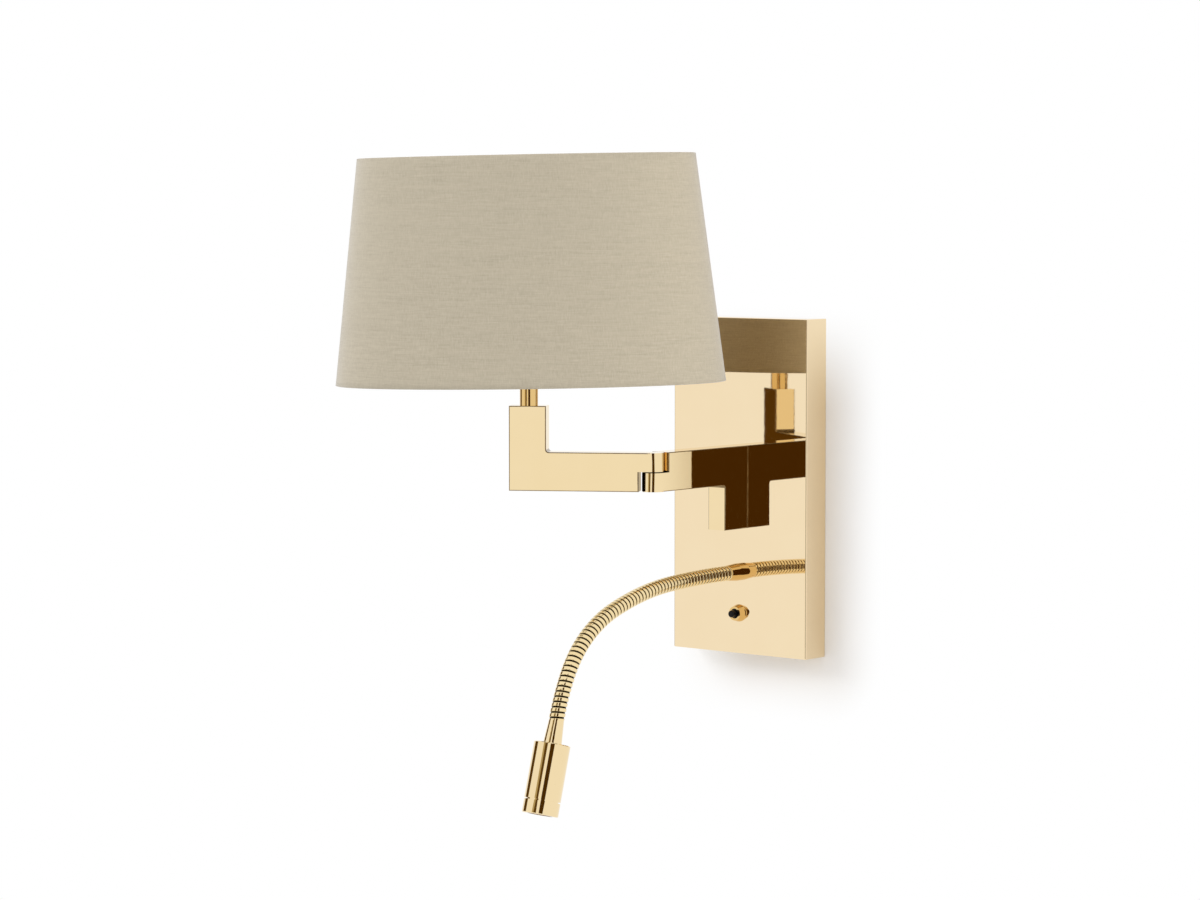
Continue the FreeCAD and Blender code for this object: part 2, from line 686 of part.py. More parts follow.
def build_stem_group():
    """Pieces stacked on the upright; each outline starts at the piece's own foot."""
    stem = tube("stem_tube", "nipple_radius + running_gap", "stem_radius", "0", "stem_length")
    nipple = tube(
        "stem_threaded_tube", "nipple_bore", "nipple_radius",
        "-nipple_depth", "stem_length + holder_base",
    )
    holder_inside = "(holder_radius - holder_wall)"
    flange_bottom = "(holder_flange_top - holder_flange_height)"
    holder = turned("lampholder_shell", [
        ("nipple_radius + fit_gap", "0"),
        ("holder_radius", "0"),
        ("holder_radius", flange_bottom),
        ("holder_flange", flange_bottom),
        ("holder_flange", "holder_flange_top"),
        ("holder_radius", "holder_flange_top"),
        ("holder_radius", "holder_length"),
        (holder_inside, "holder_length"),
        (holder_inside, "holder_base"),
        ("nipple_radius + fit_gap", "holder_base"),
    ])
    nut_bottom = "(holder_flange_top + 2 * carrier_play + carrier_sheet)"
    ring_nut = tube(
        "shade_ring_nut", "holder_radius + fit_gap", "ring_nut_radius",
        nut_bottom, f"{nut_bottom} + ring_nut_height",
    )
    insert = tube(
        "lampholder_insert", "nipple_bore / 2", f"{holder_inside} - fit_gap",
        "insert_level", "insert_level + insert_height",
    )
    sleeve = tube(
        "lampholder_contact_sleeve", "sleeve_radius - sleeve_wall", "sleeve_radius",
        "insert_level + insert_height", "insert_level + insert_height + sleeve_height",
    )
    cap = turned("bulb_cap", [
        ("0", CAP_LEVEL),
        ("cap_radius / 2", CAP_LEVEL),
        ("cap_radius", f"{CAP_LEVEL} + cap_radius / 2"),
        ("cap_radius", f"{CAP_LEVEL} + cap_length"),
        ("0", f"{CAP_LEVEL} + cap_length"),
    ])
    on_upright = [(stem, UPRIGHT_TOP), (nipple, UPRIGHT_TOP)]
    on_stem = [(piece, HOLDER_LEVEL) for piece in (holder, ring_nut, insert, sleeve, cap)]
    return on_upright + on_stem


def build_bulb_glass():
    """Globe with a drawn neck, a closed glass shell on the cap."""
    rim = f"({CAP_LEVEL} + cap_length)"
    globe = {}
    for name, less in (("outside", "0"), ("inside", "globe_wall")):
        ball = doc.addObject("Part::Sphere", f"globe_{name}")
        bind(ball, "Radius", f"globe_radius - {less}")
        bind(ball, ".Placement.Base.z", f"{rim} + globe_rise")
        neck = doc.addObject("Part::Cone", f"globe_neck_{name}")
        bind(neck, "Radius1", f"cap_radius - {less}")
        bind(neck, "Radius2", f"globe_neck_radius - {less}")
        bind(neck, "Height", f"globe_neck_height - {less}")
        bind(neck, ".Placement.Base.z", f"{rim} + {less}")
        globe[name] = doc.addObject("Part::Fuse", f"globe_form_{name}")
        globe[name].Base = ball
        globe[name].Tool = neck
    shell = doc.addObject("Part::Cut", "bulb_glass")
    shell.Base = globe["outside"]
    shell.Tool = globe["inside"]
    return sub_part(shell, "bulb_glass")


# ---------------------------------------------------------------- shade


def oval(name, long_axis, short_axis, level, inset="0"):
    """An ellipse in a level plane, its axes given whole, drawn in by inset."""
    ring = doc.addObject("Part::Ellipse", name)
    bind(ring, "MajorRadius", f"({long_axis}) / 2 - ({inset})")
    bind(ring, "MinorRadius", f"({short_axis}) / 2 - ({inset})")
    bind(ring, ".Placement.Base.z", level)
    return ring


def oval_loft(name, lower, upper):
    loft = doc.addObject("Part::Loft", name)
    loft.Sections = [lower, upper]
    loft.Solid = True
    loft.Ruled = True
    return loft


SHADE_BOTTOM = "(-shade_drop)"
SHADE_TOP = "(shade_height - shade_drop)"


def build_shade_skin():
    """Lined fabric on a stiff backing: an oval cone shell, open above and below."""
    outside = oval_loft(
        "shade_outside",
        oval("outside_bottom", "shade_bottom_length", "shade_bottom_width", SHADE_BOTTOM),
        oval("outside_top", "shade_top_length", "shade_top_width", SHADE_TOP),
    )
    inside = oval_loft(
        "shade_inside",
        oval(
            "inside_bottom", "shade_bottom_length", "shade_bottom_width",
            SHADE_BOTTOM, "shade_skin",
        ),
        oval("inside_top", "shade_top_length", "shade_top_width", SHADE_TOP, "shade_skin"),
    )
    shell = doc.addObject("Part::Cut", "shade_skin")
    shell.Base = outside
    shell.Tool = inside
    return sub_part(shell, "shade_skin")


def taper_at(top, bottom):
    """How much of a rim's half axis is lost per millimetre of height."""
    return f"(({bottom} - {top}) / 2 / shade_height)"


def rim_ring(name, long_axis, short_axis, level, lift):
    """A round wire bent to the shade's oval, just inside the skin."""
    inset = f"shade_skin + rim_inset + {lift} * {taper_at('shade_top_length', 'shade_bottom_length')}"
    path = oval(f"{name}_path", long_axis, short_axis, level, inset)
    section = doc.addObject("Part::Circle", f"{name}_section")
    bind(section, "Radius", "rim_wire")
    section.Placement = FreeCAD.Placement(FreeCAD.Vector(), WALL_POINTING)
    bind(section, ".Placement.Base.x", f"{long_axis} / 2 - ({inset})")
    bind(section, ".Placement.Base.z", level)
    ring = doc.addObject("Part::Sweep", name)
    ring.Sections = [section]
    ring.Spine = (path, ["Edge1"])
    ring.Solid = True
    return ring


def build_shade_top_ring():
    level = f"{SHADE_TOP} - rim_inset"
    ring = rim_ring("shade_top_ring", "shade_top_length", "shade_top_width", level, "-rim_inset")
    return sub_part(ring, "shade_top_ring")


def build_shade_bottom_ring():
    level = f"({SHADE_BOTTOM} + rim_inset)"
    ring = rim_ring(
        "shade_bottom_ring", "shade_bottom_length", "shade_bottom_width", level, "rim_inset"
    )
    return sub_part(ring, "shade_bottom_ring")


def build_shade_carrier():
    """The ring that sits on the lampholder and its four spokes down to the bottom rim."""
    ring = doc.addObject("Part::Cylinder", "carrier_ring_outside")
    bind(ring, "Radius", "holder_flange + 2 * rim_wire")
    bind(ring, "Height", "carrier_sheet")
    hole = doc.addObject("Part::Cylinder", "carrier_ring_hole")
    bind(hole, "Radius", "holder_radius + carrier_play + seat_gap")
    bind(hole, "Height", "carrier_sheet")
    annulus = doc.addObject("Part::Cut", "carrier_ring")
    annulus.Base = ring
    annulus.Tool = hole
    inset = size("shade_skin") + size("rim_inset")
    rise = size("shade_drop") - size("rim_inset") + size("carrier_sheet") / 2
    start = size("holder_flange") + size("rim_wire")
    spokes = []
    for turn, axis_length in enumerate(("shade_bottom_length", "shade_bottom_width") * 2):
        reach = size(axis_length) / 2 - inset - start
        spoke = doc.addObject("Part::Cylinder", f"carrier_spoke_{turn + 1}")
        bind(spoke, "Radius", "spoke_wire")
        spoke.Height = math.hypot(reach, rise) - size("rim_wire") - size("fit_gap")
        out = FreeCAD.Rotation(FreeCAD.Vector(0, 0, 1), 90 * turn)
        down = FreeCAD.Rotation(FreeCAD.Vector(0, 1, 0), 90 + math.degrees(math.atan2(rise, reach)))
        foot = out.multVec(FreeCAD.Vector(start, 0, size("carrier_sheet") / 2))
        spoke.Placement = FreeCAD.Placement(foot, out.multiply(down))
        spokes.append(spoke)
    carrier = doc.addObject("Part::MultiFuse", "shade_carrier")
    carrier.Shapes = [annulus] + spokes
    return sub_part(carrier, "shade_carrier")


# ---------------------------------------------------------------- gooseneck


def hose_stations():
    """Where each part of the hose starts: (point, angle below level), and the end."""
    y = -size("plate_depth") - size("collar_length")
    z = -size("neck_level")
    angle = 0.0
    stations = [(FreeCAD.Vector(0, y, z), angle)]
    for turn in HOSE_TURNS:
        stations.append(point_along(stations[-1], turn, size("hose_part"), 1.0))
    return stations


def point_along(start, turn, length, share):
    """The place a share of the way along an arc that turns down from start."""
    origin, angle = start
    travelled = length * share
    swept = turn * share
    middle = math.radians(angle + swept / 2)
    half = math.radians(swept / 2)
    chord = travelled * (math.sin(half) / half if abs(half) > 1e-9 else 1.0)
    step = FreeCAD.Vector(0, -chord * math.cos(middle), -chord * math.sin(middle))
    return origin + step, angle + swept


def facing(angle):
    """Rotation that points +Z along the hose, X held level."""
    return FreeCAD.Rotation(FreeCAD.Vector(1, 0, 0), 90 + angle)


def ring_at(place_and_angle, radius):
    """A circle square to the hose, with a steady X axis."""
    point, angle = place_and_angle
    circle = Part.Circle(FreeCAD.Vector(), FreeCAD.Vector(0, 0, 1), radius).toShape()
    circle.Placement = FreeCAD.Placement(point, facing(angle))
    return Part.Wire([circle])


def build_hose():
    """The ribbed hose, one node for each stretch between two bending places."""
    stations = hose_stations()
    root = size("hose_root")
    crest = size("hose_radius")
    for index, turn in enumerate(HOSE_TURNS):
        start = stations[index]
        outer_rings = []
        bore_rings = []
        for rib in range(RIBS_IN_PART):
            for share, height in RIB_SECTIONS:
                spot = point_along(start, turn, size("hose_part"), (rib + share) / RIBS_IN_PART)
                outer_rings.append(ring_at(spot, root + (crest - root) * height))
            spot = point_along(start, turn, size("hose_part"), rib / RIBS_IN_PART)
            bore_rings.append(ring_at(spot, size("hose_bore")))
        outer_rings.append(ring_at(stations[index + 1], root))
        bore_rings.append(ring_at(stations[index + 1], size("hose_bore")))
        outside = Part.makeLoft(outer_rings, True, True)
        bore = Part.makeLoft(bore_rings, True, True)
        hose = doc.addObject("Part::Feature", f"gooseneck_hose_{index + 1}")
        hose.Shape = outside.cut(bore)
        sub_part(hose, f"gooseneck_hose_{index + 1}")


def build_collar():
    """Tapered collar on the cover, with a threaded spigot through it, and its nut."""
    spigot_bottom = "(-plate_wall - neck_nut_height - spigot_end)"
    collar = turned("gooseneck_collar", [
        ("hose_bore", spigot_bottom),
        ("spigot_radius", spigot_bottom),
        ("spigot_radius", "0"),
        ("collar_base_radius", "0"),
        ("collar_base_radius", "collar_land"),
        ("collar_tip_radius", "collar_length"),
        ("hose_bore", "collar_length"),
    ])
    tip = size("collar_length")

    def outer_ring(edge):
        box = edge.BoundBox
        wide = box.XLength > 2 * size("spigot_radius") + 0.1
        return wide and lies_at(box.ZMin, box.ZMax) and lies_at(box.ZMin, tip)

    round_edges(collar, "(collar_tip_radius - hose_root) / 2", outer_ring)
    nut = new_body("gooseneck_nut")
    outline = new_sketch(nut, "XY_Plane", "-plate_wall - neck_nut_height")
    hexagon(outline, "neck_nut_flats")
    add_circle(outline, "0", "0", "spigot_radius + fit_gap")
    pad(nut, outline, "neck_nut_height")
    return [collar, nut]


# ---------------------------------------------------------------- reading head


def build_head():
    """Cone, housing, heat sink, LED board, lens and bezel, along the head's own +Z."""
    bore = "hose_bore"
    housing_start = "cone_length"
    housing_end = "(cone_length + head_length)"
    inner = "(head_radius - head_wall)"
    bezel_start = f"({housing_end} + bezel_gap)"
    bezel_end = f"({housing_end} + bezel_length)"
    spigot_start = f"({housing_end} - bezel_spigot)"
    spigot_outer = f"({inner} - fit_gap)"
    spigot_inner = f"({inner} - bezel_spigot_wall)"
    cone = turned("head_cone", [
        (bore, "0"),
        ("cone_tip", "0"),
        ("cone_base", housing_start),
        (bore, housing_start),
    ])
    housing = turned("head_housing", [
        (bore, housing_start),
        ("head_radius - head_edge", housing_start),
        ("head_radius", f"{housing_start} + head_edge"),
        ("head_radius", housing_end),
        (inner, housing_end),
        (inner, f"{housing_start} + head_back"),
        (bore, f"{housing_start} + head_back"),
    ])
    sink_end = f"({spigot_start} - board_sheet)"
    sink = tube(
        "head_heat_sink", "hose_bore / 2", f"{inner} - fit_gap",
        f"{sink_end} - heatsink_length", sink_end,
    )
    board = disc("led_board", f"{inner} - fit_gap", sink_end, spigot_start)
    emitter = disc(
        "led_emitter", "emitter_radius", spigot_start, f"{spigot_start} + emitter_height"
    )
    lens_end = f"({bezel_end} - bezel_lip)"
    lens = turned("head_lens", [
        ("0", f"{lens_end} - lens_height"),
        ("emitter_radius + emitter_height", f"{lens_end} - lens_height"),
        (f"{spigot_inner} - fit_gap", f"{lens_end} - lens_height / 3"),
        (f"{spigot_inner} - fit_gap", lens_end),
        ("0", lens_end),
    ])
    bezel = turned("head_bezel", [
        (spigot_inner, spigot_start),
        (spigot_outer, spigot_start),
        (spigot_outer, bezel_start),
        ("head_radius", bezel_start),
        ("head_radius", f"{bezel_end} - head_edge"),
        ("head_radius - head_edge", bezel_end),
        (f"{spigot_inner} - bezel_lip", bezel_end),
        (f"{spigot_inner} - bezel_lip", lens_end),
        (spigot_inner, lens_end),
    ])
    return [cone, housing, sink, board, emitter, lens, bezel]


# ---------------------------------------------------------------- push switch


def build_switch():
    """Push switch through the cover: nut, case with bushing, base, button and spring."""
    case_back = "(-plate_wall - switch_case_length)"
    base_front = f"({case_back} + switch_base_height)"
    wall_back = "(-plate_wall - switch_case_wall)"
    flange_front = f"({wall_back} - running_gap)"
    flange_back = f"({flange_front} - button_flange_height)"
    nut = turned("switch_nut", [
        ("bushing_radius + fit_gap", "0"),
        ("switch_nut_base", "0"),
        ("switch_nut_base", "switch_nut_land"),
        ("switch_nut_front", "switch_nut_length"),
        ("bushing_radius + fit_gap", "switch_nut_length"),
    ])
    case = new_body("switch_case")
    block = add_rectangle(
        new_sketch(case, "XY_Plane", case_back),
        "-switch_case / 2", "-switch_case / 2", "switch_case / 2", "switch_case / 2",
    )
    pad(case, block, "switch_case_length")
    bushing = add_circle(new_sketch(case, "XY_Plane", "-plate_wall"), "0", "0", "bushing_radius")
    pad(case, bushing, "plate_wall + switch_nut_length")
    chamber = add_circle(
        new_sketch(case, "XY_Plane", case_back), "0", "0", "button_flange + seat_gap"
    )
    pocket(case, chamber, "switch_case_length - switch_case_wall", towards_normal=True)
    bore = add_circle(
        new_sketch(case, "XY_Plane", wall_back), "0", "0", "button_radius + running_gap"
    )
    pocket(case, bore, "switch_case_length + switch_nut_length", towards_normal=True)
    base = new_body("switch_base")
    plug = add_circle(new_sketch(base, "XY_Plane", case_back), "0", "0", "button_flange")
    pad(base, plug, "switch_base_height")
    pins = new_sketch(base, "XY_Plane", case_back)
    for side in ("-", ""):
        add_circle(pins, f"{side}button_flange / 2", "0", "button_flange / 6")
    feature = pad(base, pins, "terminal_length")
    feature.Reversed = True
    button = turned("push_button", [
        ("0", flange_back),
        ("button_flange", flange_back),
        ("button_flange", flange_front),
        ("button_radius", flange_front),
        ("button_radius", "switch_nut_length + button_stand"),
        ("0", "switch_nut_length + button_stand"),
    ])
    top = size("switch_nut_length") + size("button_stand")

    def button_rim(edge):
        box = edge.BoundBox
        return lies_at(box.ZMin, top) and lies_at(box.ZMax, top)

    round_edges(button, "button_radius / 3", button_rim)
    spring = tube(
        "switch_spring", "button_radius / 2", "button_radius",
        f"{base_front} + running_gap", f"{flange_back} - running_gap",
    )
    return [nut, case, base, button, spring]


# ---------------------------------------------------------------- on the bracket


DRIVER_LEVEL = "(plate_height / 2 - driver_drop)"
TERMINAL_LEVEL = "(plate_height / 2 - terminal_drop)"


def build_driver():
    body = new_body("led_driver")
    outline = add_rectangle(
        new_sketch(body, "XZ_Plane", "bracket_sheet"),
        "-driver_width / 2", f"{DRIVER_LEVEL} - driver_height / 2",
        "driver_width / 2", f"{DRIVER_LEVEL} + driver_height / 2",
    )
    pad(body, outline, "driver_depth")
    front = -size("bracket_sheet") - size("driver_depth")

    def front_edge(edge):
        box = edge.BoundBox
        return lies_at(box.YMin, front) and lies_at(box.YMax, front)

    round_edges(body, "plate_wall", front_edge)
    return body


def build_terminal_block():
    """Screw terminals for the mains: one wire hole through each way, a screw above."""
    body = new_body("terminal_block")
    half = "(terminal_pitch * terminal_ways / 2)"
    outline = add_rectangle(
        new_sketch(body, "XZ_Plane", "bracket_sheet"),
        f"-{half}", f"{TERMINAL_LEVEL} - terminal_height / 2",
        half, f"{TERMINAL_LEVEL} + terminal_height / 2",
    )
    pad(body, outline, "terminal_depth")
    doc.recompute()
    first = f"-{half} + terminal_pitch / 2"
    wire = add_circle(
        new_sketch(body, "XY_Plane", f"{TERMINAL_LEVEL} - terminal_height / 2"),
        first, "-bracket_sheet - terminal_depth / 2", "terminal_hole",
    )
    wire_hole = pocket(body, wire, "terminal_height", towards_normal=True)
    screw = add_circle(
        new_sketch(body, "XZ_Plane", "bracket_sheet + terminal_depth"),
        first, TERMINAL_LEVEL, "terminal_hole",
    )
    screw_hole = pocket(body, screw, "terminal_depth / 3")
    ways = body.newObject("PartDesign::LinearPattern", "terminal_ways_pattern")
    ways.Originals = [wire_hole, screw_hole]
    ways.Direction = (screw, ["H_Axis"])
    bind(ways, "Length", "terminal_pitch * (terminal_ways - 1)")
    bind(ways, "Occurrences", "terminal_ways")
    body.Tip = ways
    return body


def build_earth_screw():
    """Pan-head screw for the earth lead, into the bracket from the front."""
    return turned("earth_screw", [
        ("0", "-bracket_sheet"),
        ("earth_screw_radius", "-bracket_sheet"),
        ("earth_screw_radius", "0"),
        ("earth_screw_head", "0"),
        ("earth_screw_head", "earth_screw_height"),
        ("0", "earth_screw_height"),
    ])


# ---------------------------------------------------------------- assembly


def place_on_outer_arm(thing, level):
    """Stands a piece on the stem's axis, level above the origin."""
    turn = math.radians(size("arm_turn"))
    reach = size("stem_reach")
    thing.Placement = FreeCAD.Placement(
        FreeCAD.Vector(
            -reach * math.cos(turn),
            -size("plate_depth") - size("elbow_reach") - reach * math.sin(turn),
            0,
        ),
        FreeCAD.Rotation(FreeCAD.Vector(0, 0, 1), size("arm_turn")),
    )
    bind(thing, ".Placement.Base.z", level)


def build_assembly():
    elbow_y = "-plate_depth - elbow_reach"
    turned_arm = FreeCAD.Rotation(FreeCAD.Vector(0, 0, 1), size("arm_turn"))
    build_wall_plate()
    build_bracket()
    build_cover_screws()
    build_driver()
    build_terminal_block()
    place(
        build_earth_screw(), "earth_offset", "-bracket_sheet", "0", WALL_POINTING
    )
    build_stiffener()
    build_arm_screws()
    build_inner_arm()
    place(build_outer_arm(), "0", elbow_y, "0", turned_arm)
    for piece in build_elbow():
        place(piece, "0", elbow_y, "0", turned_arm)
    for piece, level in build_stem_group():
        place_on_outer_arm(piece, level)
    place_on_outer_arm(build_bulb_glass(), HOLDER_LEVEL)
    carrier_level = f"{HOLDER_LEVEL} + holder_flange_top + carrier_play"
    lean = FreeCAD.Rotation(FreeCAD.Vector(0, -1, 0), size("shade_lean"))
    shade = [
        build_shade_skin(), build_shade_top_ring(), build_shade_bottom_ring(), build_shade_carrier()
    ]
    for piece in shade:
        place_on_outer_arm(piece, carrier_level)
        upright = piece.Placement
        piece.Placement = FreeCAD.Placement(upright.Base, upright.Rotation.multiply(lean))
    for piece in build_collar():
        place(piece, "0", "-plate_depth", "-neck_level", WALL_POINTING)
    build_hose()
    head_point, head_angle = hose_stations()[-1]
    for piece in build_head():
        piece.Placement = FreeCAD.Placement(head_point, facing(head_angle))
    for piece in build_switch():
        place(piece, "0", "-plate_depth", "-switch_level", WALL_POINTING)


def check_and_export():
    doc.recompute()
    for thing in doc.Objects:
        if "Invalid" in thing.State or "Error" in thing.State:
            raise ValueError(f"{thing.Label} failed: {thing.State}")
    for piece in sub_parts:
        if piece.Shape.isNull() or not piece.Shape.isValid():
            raise ValueError(f"{piece.Label} has no valid shape")
    os.makedirs("parts", exist_ok=True)
    for piece in sub_parts:
        piece.Shape.exportStep(f"parts/{piece.Label}.step")
        box = piece.Shape.BoundBox
        print(
            f"{piece.Label:28s} solids {len(piece.Shape.Solids)}"
            f" volume {piece.Shape.Volume:10.1f}"
            f" x {box.XMin:7.1f} {box.XMax:7.1f} y {box.YMin:7.1f} {box.YMax:7.1f}"
            f" z {box.ZMin:7.1f} {box.ZMax:7.1f}"
        )


build_assembly()
check_and_export()
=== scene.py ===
import math

import bmesh
import bpy
from mathutils import Matrix, Vector


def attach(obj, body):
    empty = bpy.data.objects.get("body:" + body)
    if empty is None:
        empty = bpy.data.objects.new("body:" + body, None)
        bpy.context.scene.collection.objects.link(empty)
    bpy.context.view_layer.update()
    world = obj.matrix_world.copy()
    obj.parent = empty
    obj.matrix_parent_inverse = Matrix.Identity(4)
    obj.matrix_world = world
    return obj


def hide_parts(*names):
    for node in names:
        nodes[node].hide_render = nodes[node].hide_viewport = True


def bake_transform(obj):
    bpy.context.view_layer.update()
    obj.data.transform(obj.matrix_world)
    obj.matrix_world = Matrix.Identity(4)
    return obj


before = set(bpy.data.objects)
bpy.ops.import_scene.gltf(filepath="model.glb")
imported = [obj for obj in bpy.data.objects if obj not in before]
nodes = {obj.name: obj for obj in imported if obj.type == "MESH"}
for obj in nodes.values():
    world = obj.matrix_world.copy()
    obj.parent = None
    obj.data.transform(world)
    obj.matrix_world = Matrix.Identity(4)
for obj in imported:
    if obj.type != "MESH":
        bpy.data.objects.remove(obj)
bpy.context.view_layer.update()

# Bedside wall lamp: metres, origin at the wall fixings, +Y into the wall, +Z up.
scene = bpy.context.scene
MM = 0.001

# ---------------------------------------------------------------- node helpers


class Nodes:
    """A short way to write a material's or the world's node tree.

    A Map Range node's inputs by number: 0 the value, 1 and 2 the range it comes from,
    3 and 4 the range it goes to. A Mix node's: 0 the factor, 6 and 7 the colours.
    """

    def __init__(self, tree):
        self.tree = tree

    def add(self, kind, inputs=None, **settings):
        node = self.tree.nodes.new(kind)
        for name, value in settings.items():
            setattr(node, name, value)
        for key, value in (inputs or {}).items():
            self.put(node, key, value)
        return node

    def put(self, node, key, value):
        socket = node.inputs[key]
        if isinstance(value, bpy.types.NodeSocket):
            self.tree.links.new(value, socket)
        else:
            socket.default_value = value

    def maths(self, operation, *values):
        node = self.add("ShaderNodeMath", operation=operation)
        for index, value in enumerate(values):
            self.put(node, index, value)
        return node.outputs[0]

    def coords(self, scale):
        """Object coordinates stretched by scale, in cycles a metre."""
        place = self.add("ShaderNodeTexCoord").outputs["Object"]
        mapping = self.add("ShaderNodeMapping", {"Vector": place, "Scale": scale})
        return mapping.outputs["Vector"]

    def noise(self, scale, detail=3.0, rough=0.5):
        """Noise in object space; scale is one number or one for each axis."""
        if not hasattr(scale, "__len__"):
            scale = (scale, scale, scale)
        node = self.add(
            "ShaderNodeTexNoise",
            {"Vector": self.coords(scale), "Scale": 1.0, "Detail": detail, "Roughness": rough},
        )
        return node.outputs["Fac"]

    def between(self, value, low, high):
        """Spreads a 0 to 1 value from low to high."""
        node = self.add("ShaderNodeMapRange", {0: value, 3: low, 4: high})
        return node.outputs[0]

    def blend(self, factor, first, second, kind="MIX"):
        node = self.add("ShaderNodeMix", data_type="RGBA", blend_type=kind)
        self.put(node, 0, factor)
        for index, colour in ((6, first), (7, second)):
            is_link = isinstance(colour, bpy.types.NodeSocket)
            self.put(node, index, colour if is_link else (*colour, 1.0))
        return node.outputs[2]

    def bump(self, height, distance, strength=1.0):
        node = self.add(
            "ShaderNodeBump", {"Height": height, "Distance": distance, "Strength": strength}
        )
        return node.outputs["Normal"]

    def soft_step(self, value, start, end):
        """Goes smoothly from 0 at start to 1 at end."""
        step = self.add(
            "ShaderNodeMapRange", {0: value, 1: start, 2: end}, interpolation_type="SMOOTHSTEP"
        )
        return step.outputs[0]

    def seen_plainly(self):
        """1 where the camera, metal or glass looks, and 0 for bounced light."""
        path = self.add("ShaderNodeLightPath")
        seen = self.maths(
            "MAXIMUM", path.outputs["Is Glossy Ray"], path.outputs["Is Transmission Ray"]
        )
        return self.maths("MAXIMUM", seen, path.outputs["Is Camera Ray"])


def empty_nodes(owner):
    """The cleared node tree of a material or a world."""
    owner.use_nodes = True
    tree = Nodes(owner.node_tree)
    tree.tree.nodes.clear()
    return tree


def surface(name, **constants):
    """A new material and its Principled shader, with constants on its sockets."""
    material = bpy.data.materials.new(name)
    material.use_nodes = True
    tree = Nodes(material.node_tree)
    shader = tree.tree.nodes["Principled BSDF"]
    for key, value in constants.items():
        shader.inputs[key.replace("_", " ")].default_value = value
    return material, tree, shader


# ---------------------------------------------------------------- materials


def metal(name, light, dark, rough, grain, polish=0.00002):
    """Polished metal: faint cloudy tint, uneven polish and hair-fine marks."""
    material, tree, shader = surface(name, Metallic=1.0)
    cloud = tree.noise(38.0, 3.0)
    tree.put(shader, "Base Color", tree.blend(cloud, light, dark))
    wear = tree.noise(grain, 4.0, 0.6)
    tree.put(shader, "Roughness", tree.between(wear, rough[0], rough[1]))
    tree.put(shader, "Normal", tree.bump(wear, polish, 0.35))
    return material


def elbow_brass(name, turn, shoulder_at=None):
    """Arm brass, with a painted dark reflection along its rounded edges, which are also rougher,
    and painted shade on the shoulder in the elbow.
    """
    material = metal(name, BRASS_LIGHT, BRASS_DARK, BRASS_POLISH, BRASS_GRAIN, BRASS_MARKS)
    tree = Nodes(material.node_tree)
    shader = tree.tree.nodes["Principled BSDF"]
    polished = shader.inputs["Base Color"].links[0].from_socket
    polish = shader.inputs["Roughness"].links[0].from_socket
    ends = tree.add("ShaderNodeTexCoord")
    facing = tree.add("ShaderNodeVectorRotate", {
        "Vector": ends.outputs["Normal"], "Angle": -turn,
    }, rotation_type="Z_AXIS")
    way = tree.add("ShaderNodeSeparateXYZ", {0: facing.outputs[0]})
    along, out, up = (tree.maths("ABSOLUTE", way.outputs[index]) for index in range(3))
    squarest = tree.maths("MAXIMUM", tree.maths("MAXIMUM", along, out), up)
    place = tree.add("ShaderNodeVectorRotate", {
        "Vector": ends.outputs["Object"], "Center": tuple(ELBOW), "Angle": -turn,
    }, rotation_type="Z_AXIS")
    spot = tree.add("ShaderNodeSeparateXYZ", {0: place.outputs[0]})
    across = tree.maths("SUBTRACT", spot.outputs[1], ELBOW.y)
    from_axis = tree.maths("SQRT", tree.maths(
        "MULTIPLY_ADD", across, across, tree.maths("MULTIPLY", spot.outputs[0], spot.outputs[0])
    ))
    # Painted dark reflection: rounded edges away from the elbow, found by their normals, are
    # painted dark brown with a little random spread.
    rounded_edge = tree.add("ShaderNodeMapRange", {0: squarest, 1: FACE_SQUARE, 2: EDGE_ROUND})
    beyond = tree.maths("GREATER_THAN", from_axis, TONGUE_RADIUS)
    edge = tree.maths("MULTIPLY", rounded_edge.outputs[0], beyond)
    edge = tree.maths("MULTIPLY", edge, tree.between(tree.noise(160.0), 0.6, 1.1))
    colour = tree.blend(edge, polished, PAINTED_EDGE_DARK)
    # Painted shade: the shoulder face in the elbow, square to the arm, is painted near-black
    # where the gap lies in shade.
    if shoulder_at is not None:
        inside = tree.maths("GREATER_THAN", spot.outputs[0], ELBOW.x - shoulder_at - MM)
        left_of = tree.maths("LESS_THAN", spot.outputs[0], ELBOW.x - TONGUE_RADIUS)
        square_on = tree.maths("GREATER_THAN", along, 0.8)
        dark = tree.maths("MULTIPLY", tree.maths("MULTIPLY", inside, left_of), square_on)
        colour = tree.blend(dark, colour, PAINTED_GAP_SHADE)
    tree.put(shader, "Base Color", colour)
    tree.put(shader, "Roughness", tree.maths("MULTIPLY_ADD", edge, EDGE_DULLNESS, polish))
    return material


def plastic(name, colour, rough, grain=2600.0, depth=0.00004, shine=0.5):
    material, tree, shader = surface(name, Specular_IOR_Level=shine)
    pale = tuple(min(1.0, channel * 1.12 + 0.004) for channel in colour)
    tree.put(shader, "Base Color", tree.blend(tree.noise(60.0), colour, pale))
    moulded = tree.noise(grain, 2.0)
    tree.put(shader, "Roughness", tree.between(moulded, rough * 0.85, rough * 1.15))
    tree.put(shader, "Normal", tree.bump(moulded, depth, 0.4))
    return material


BRASS_LIGHT = (0.890, 0.720, 0.440)
BRASS_DARK = (0.865, 0.690, 0.405)
BRASS_POLISH = (0.012, 0.040)  # roughness, from and to
SOFTER_POLISH = (0.02, 0.06)
BRASS_GRAIN = (900, 900, 260)
BRASS_MARKS = 0.000006  # depth of the hair-fine marks
# Painted dark reflection for the arms' rounded edges; EDGE_DULLNESS makes them rougher too.
PAINTED_EDGE_DARK = (0.150, 0.088, 0.032)
EDGE_DULLNESS = 0.16
# Painted shade for the shoulder face in the elbow's gap.
PAINTED_GAP_SHADE = (0.030, 0.022, 0.014)
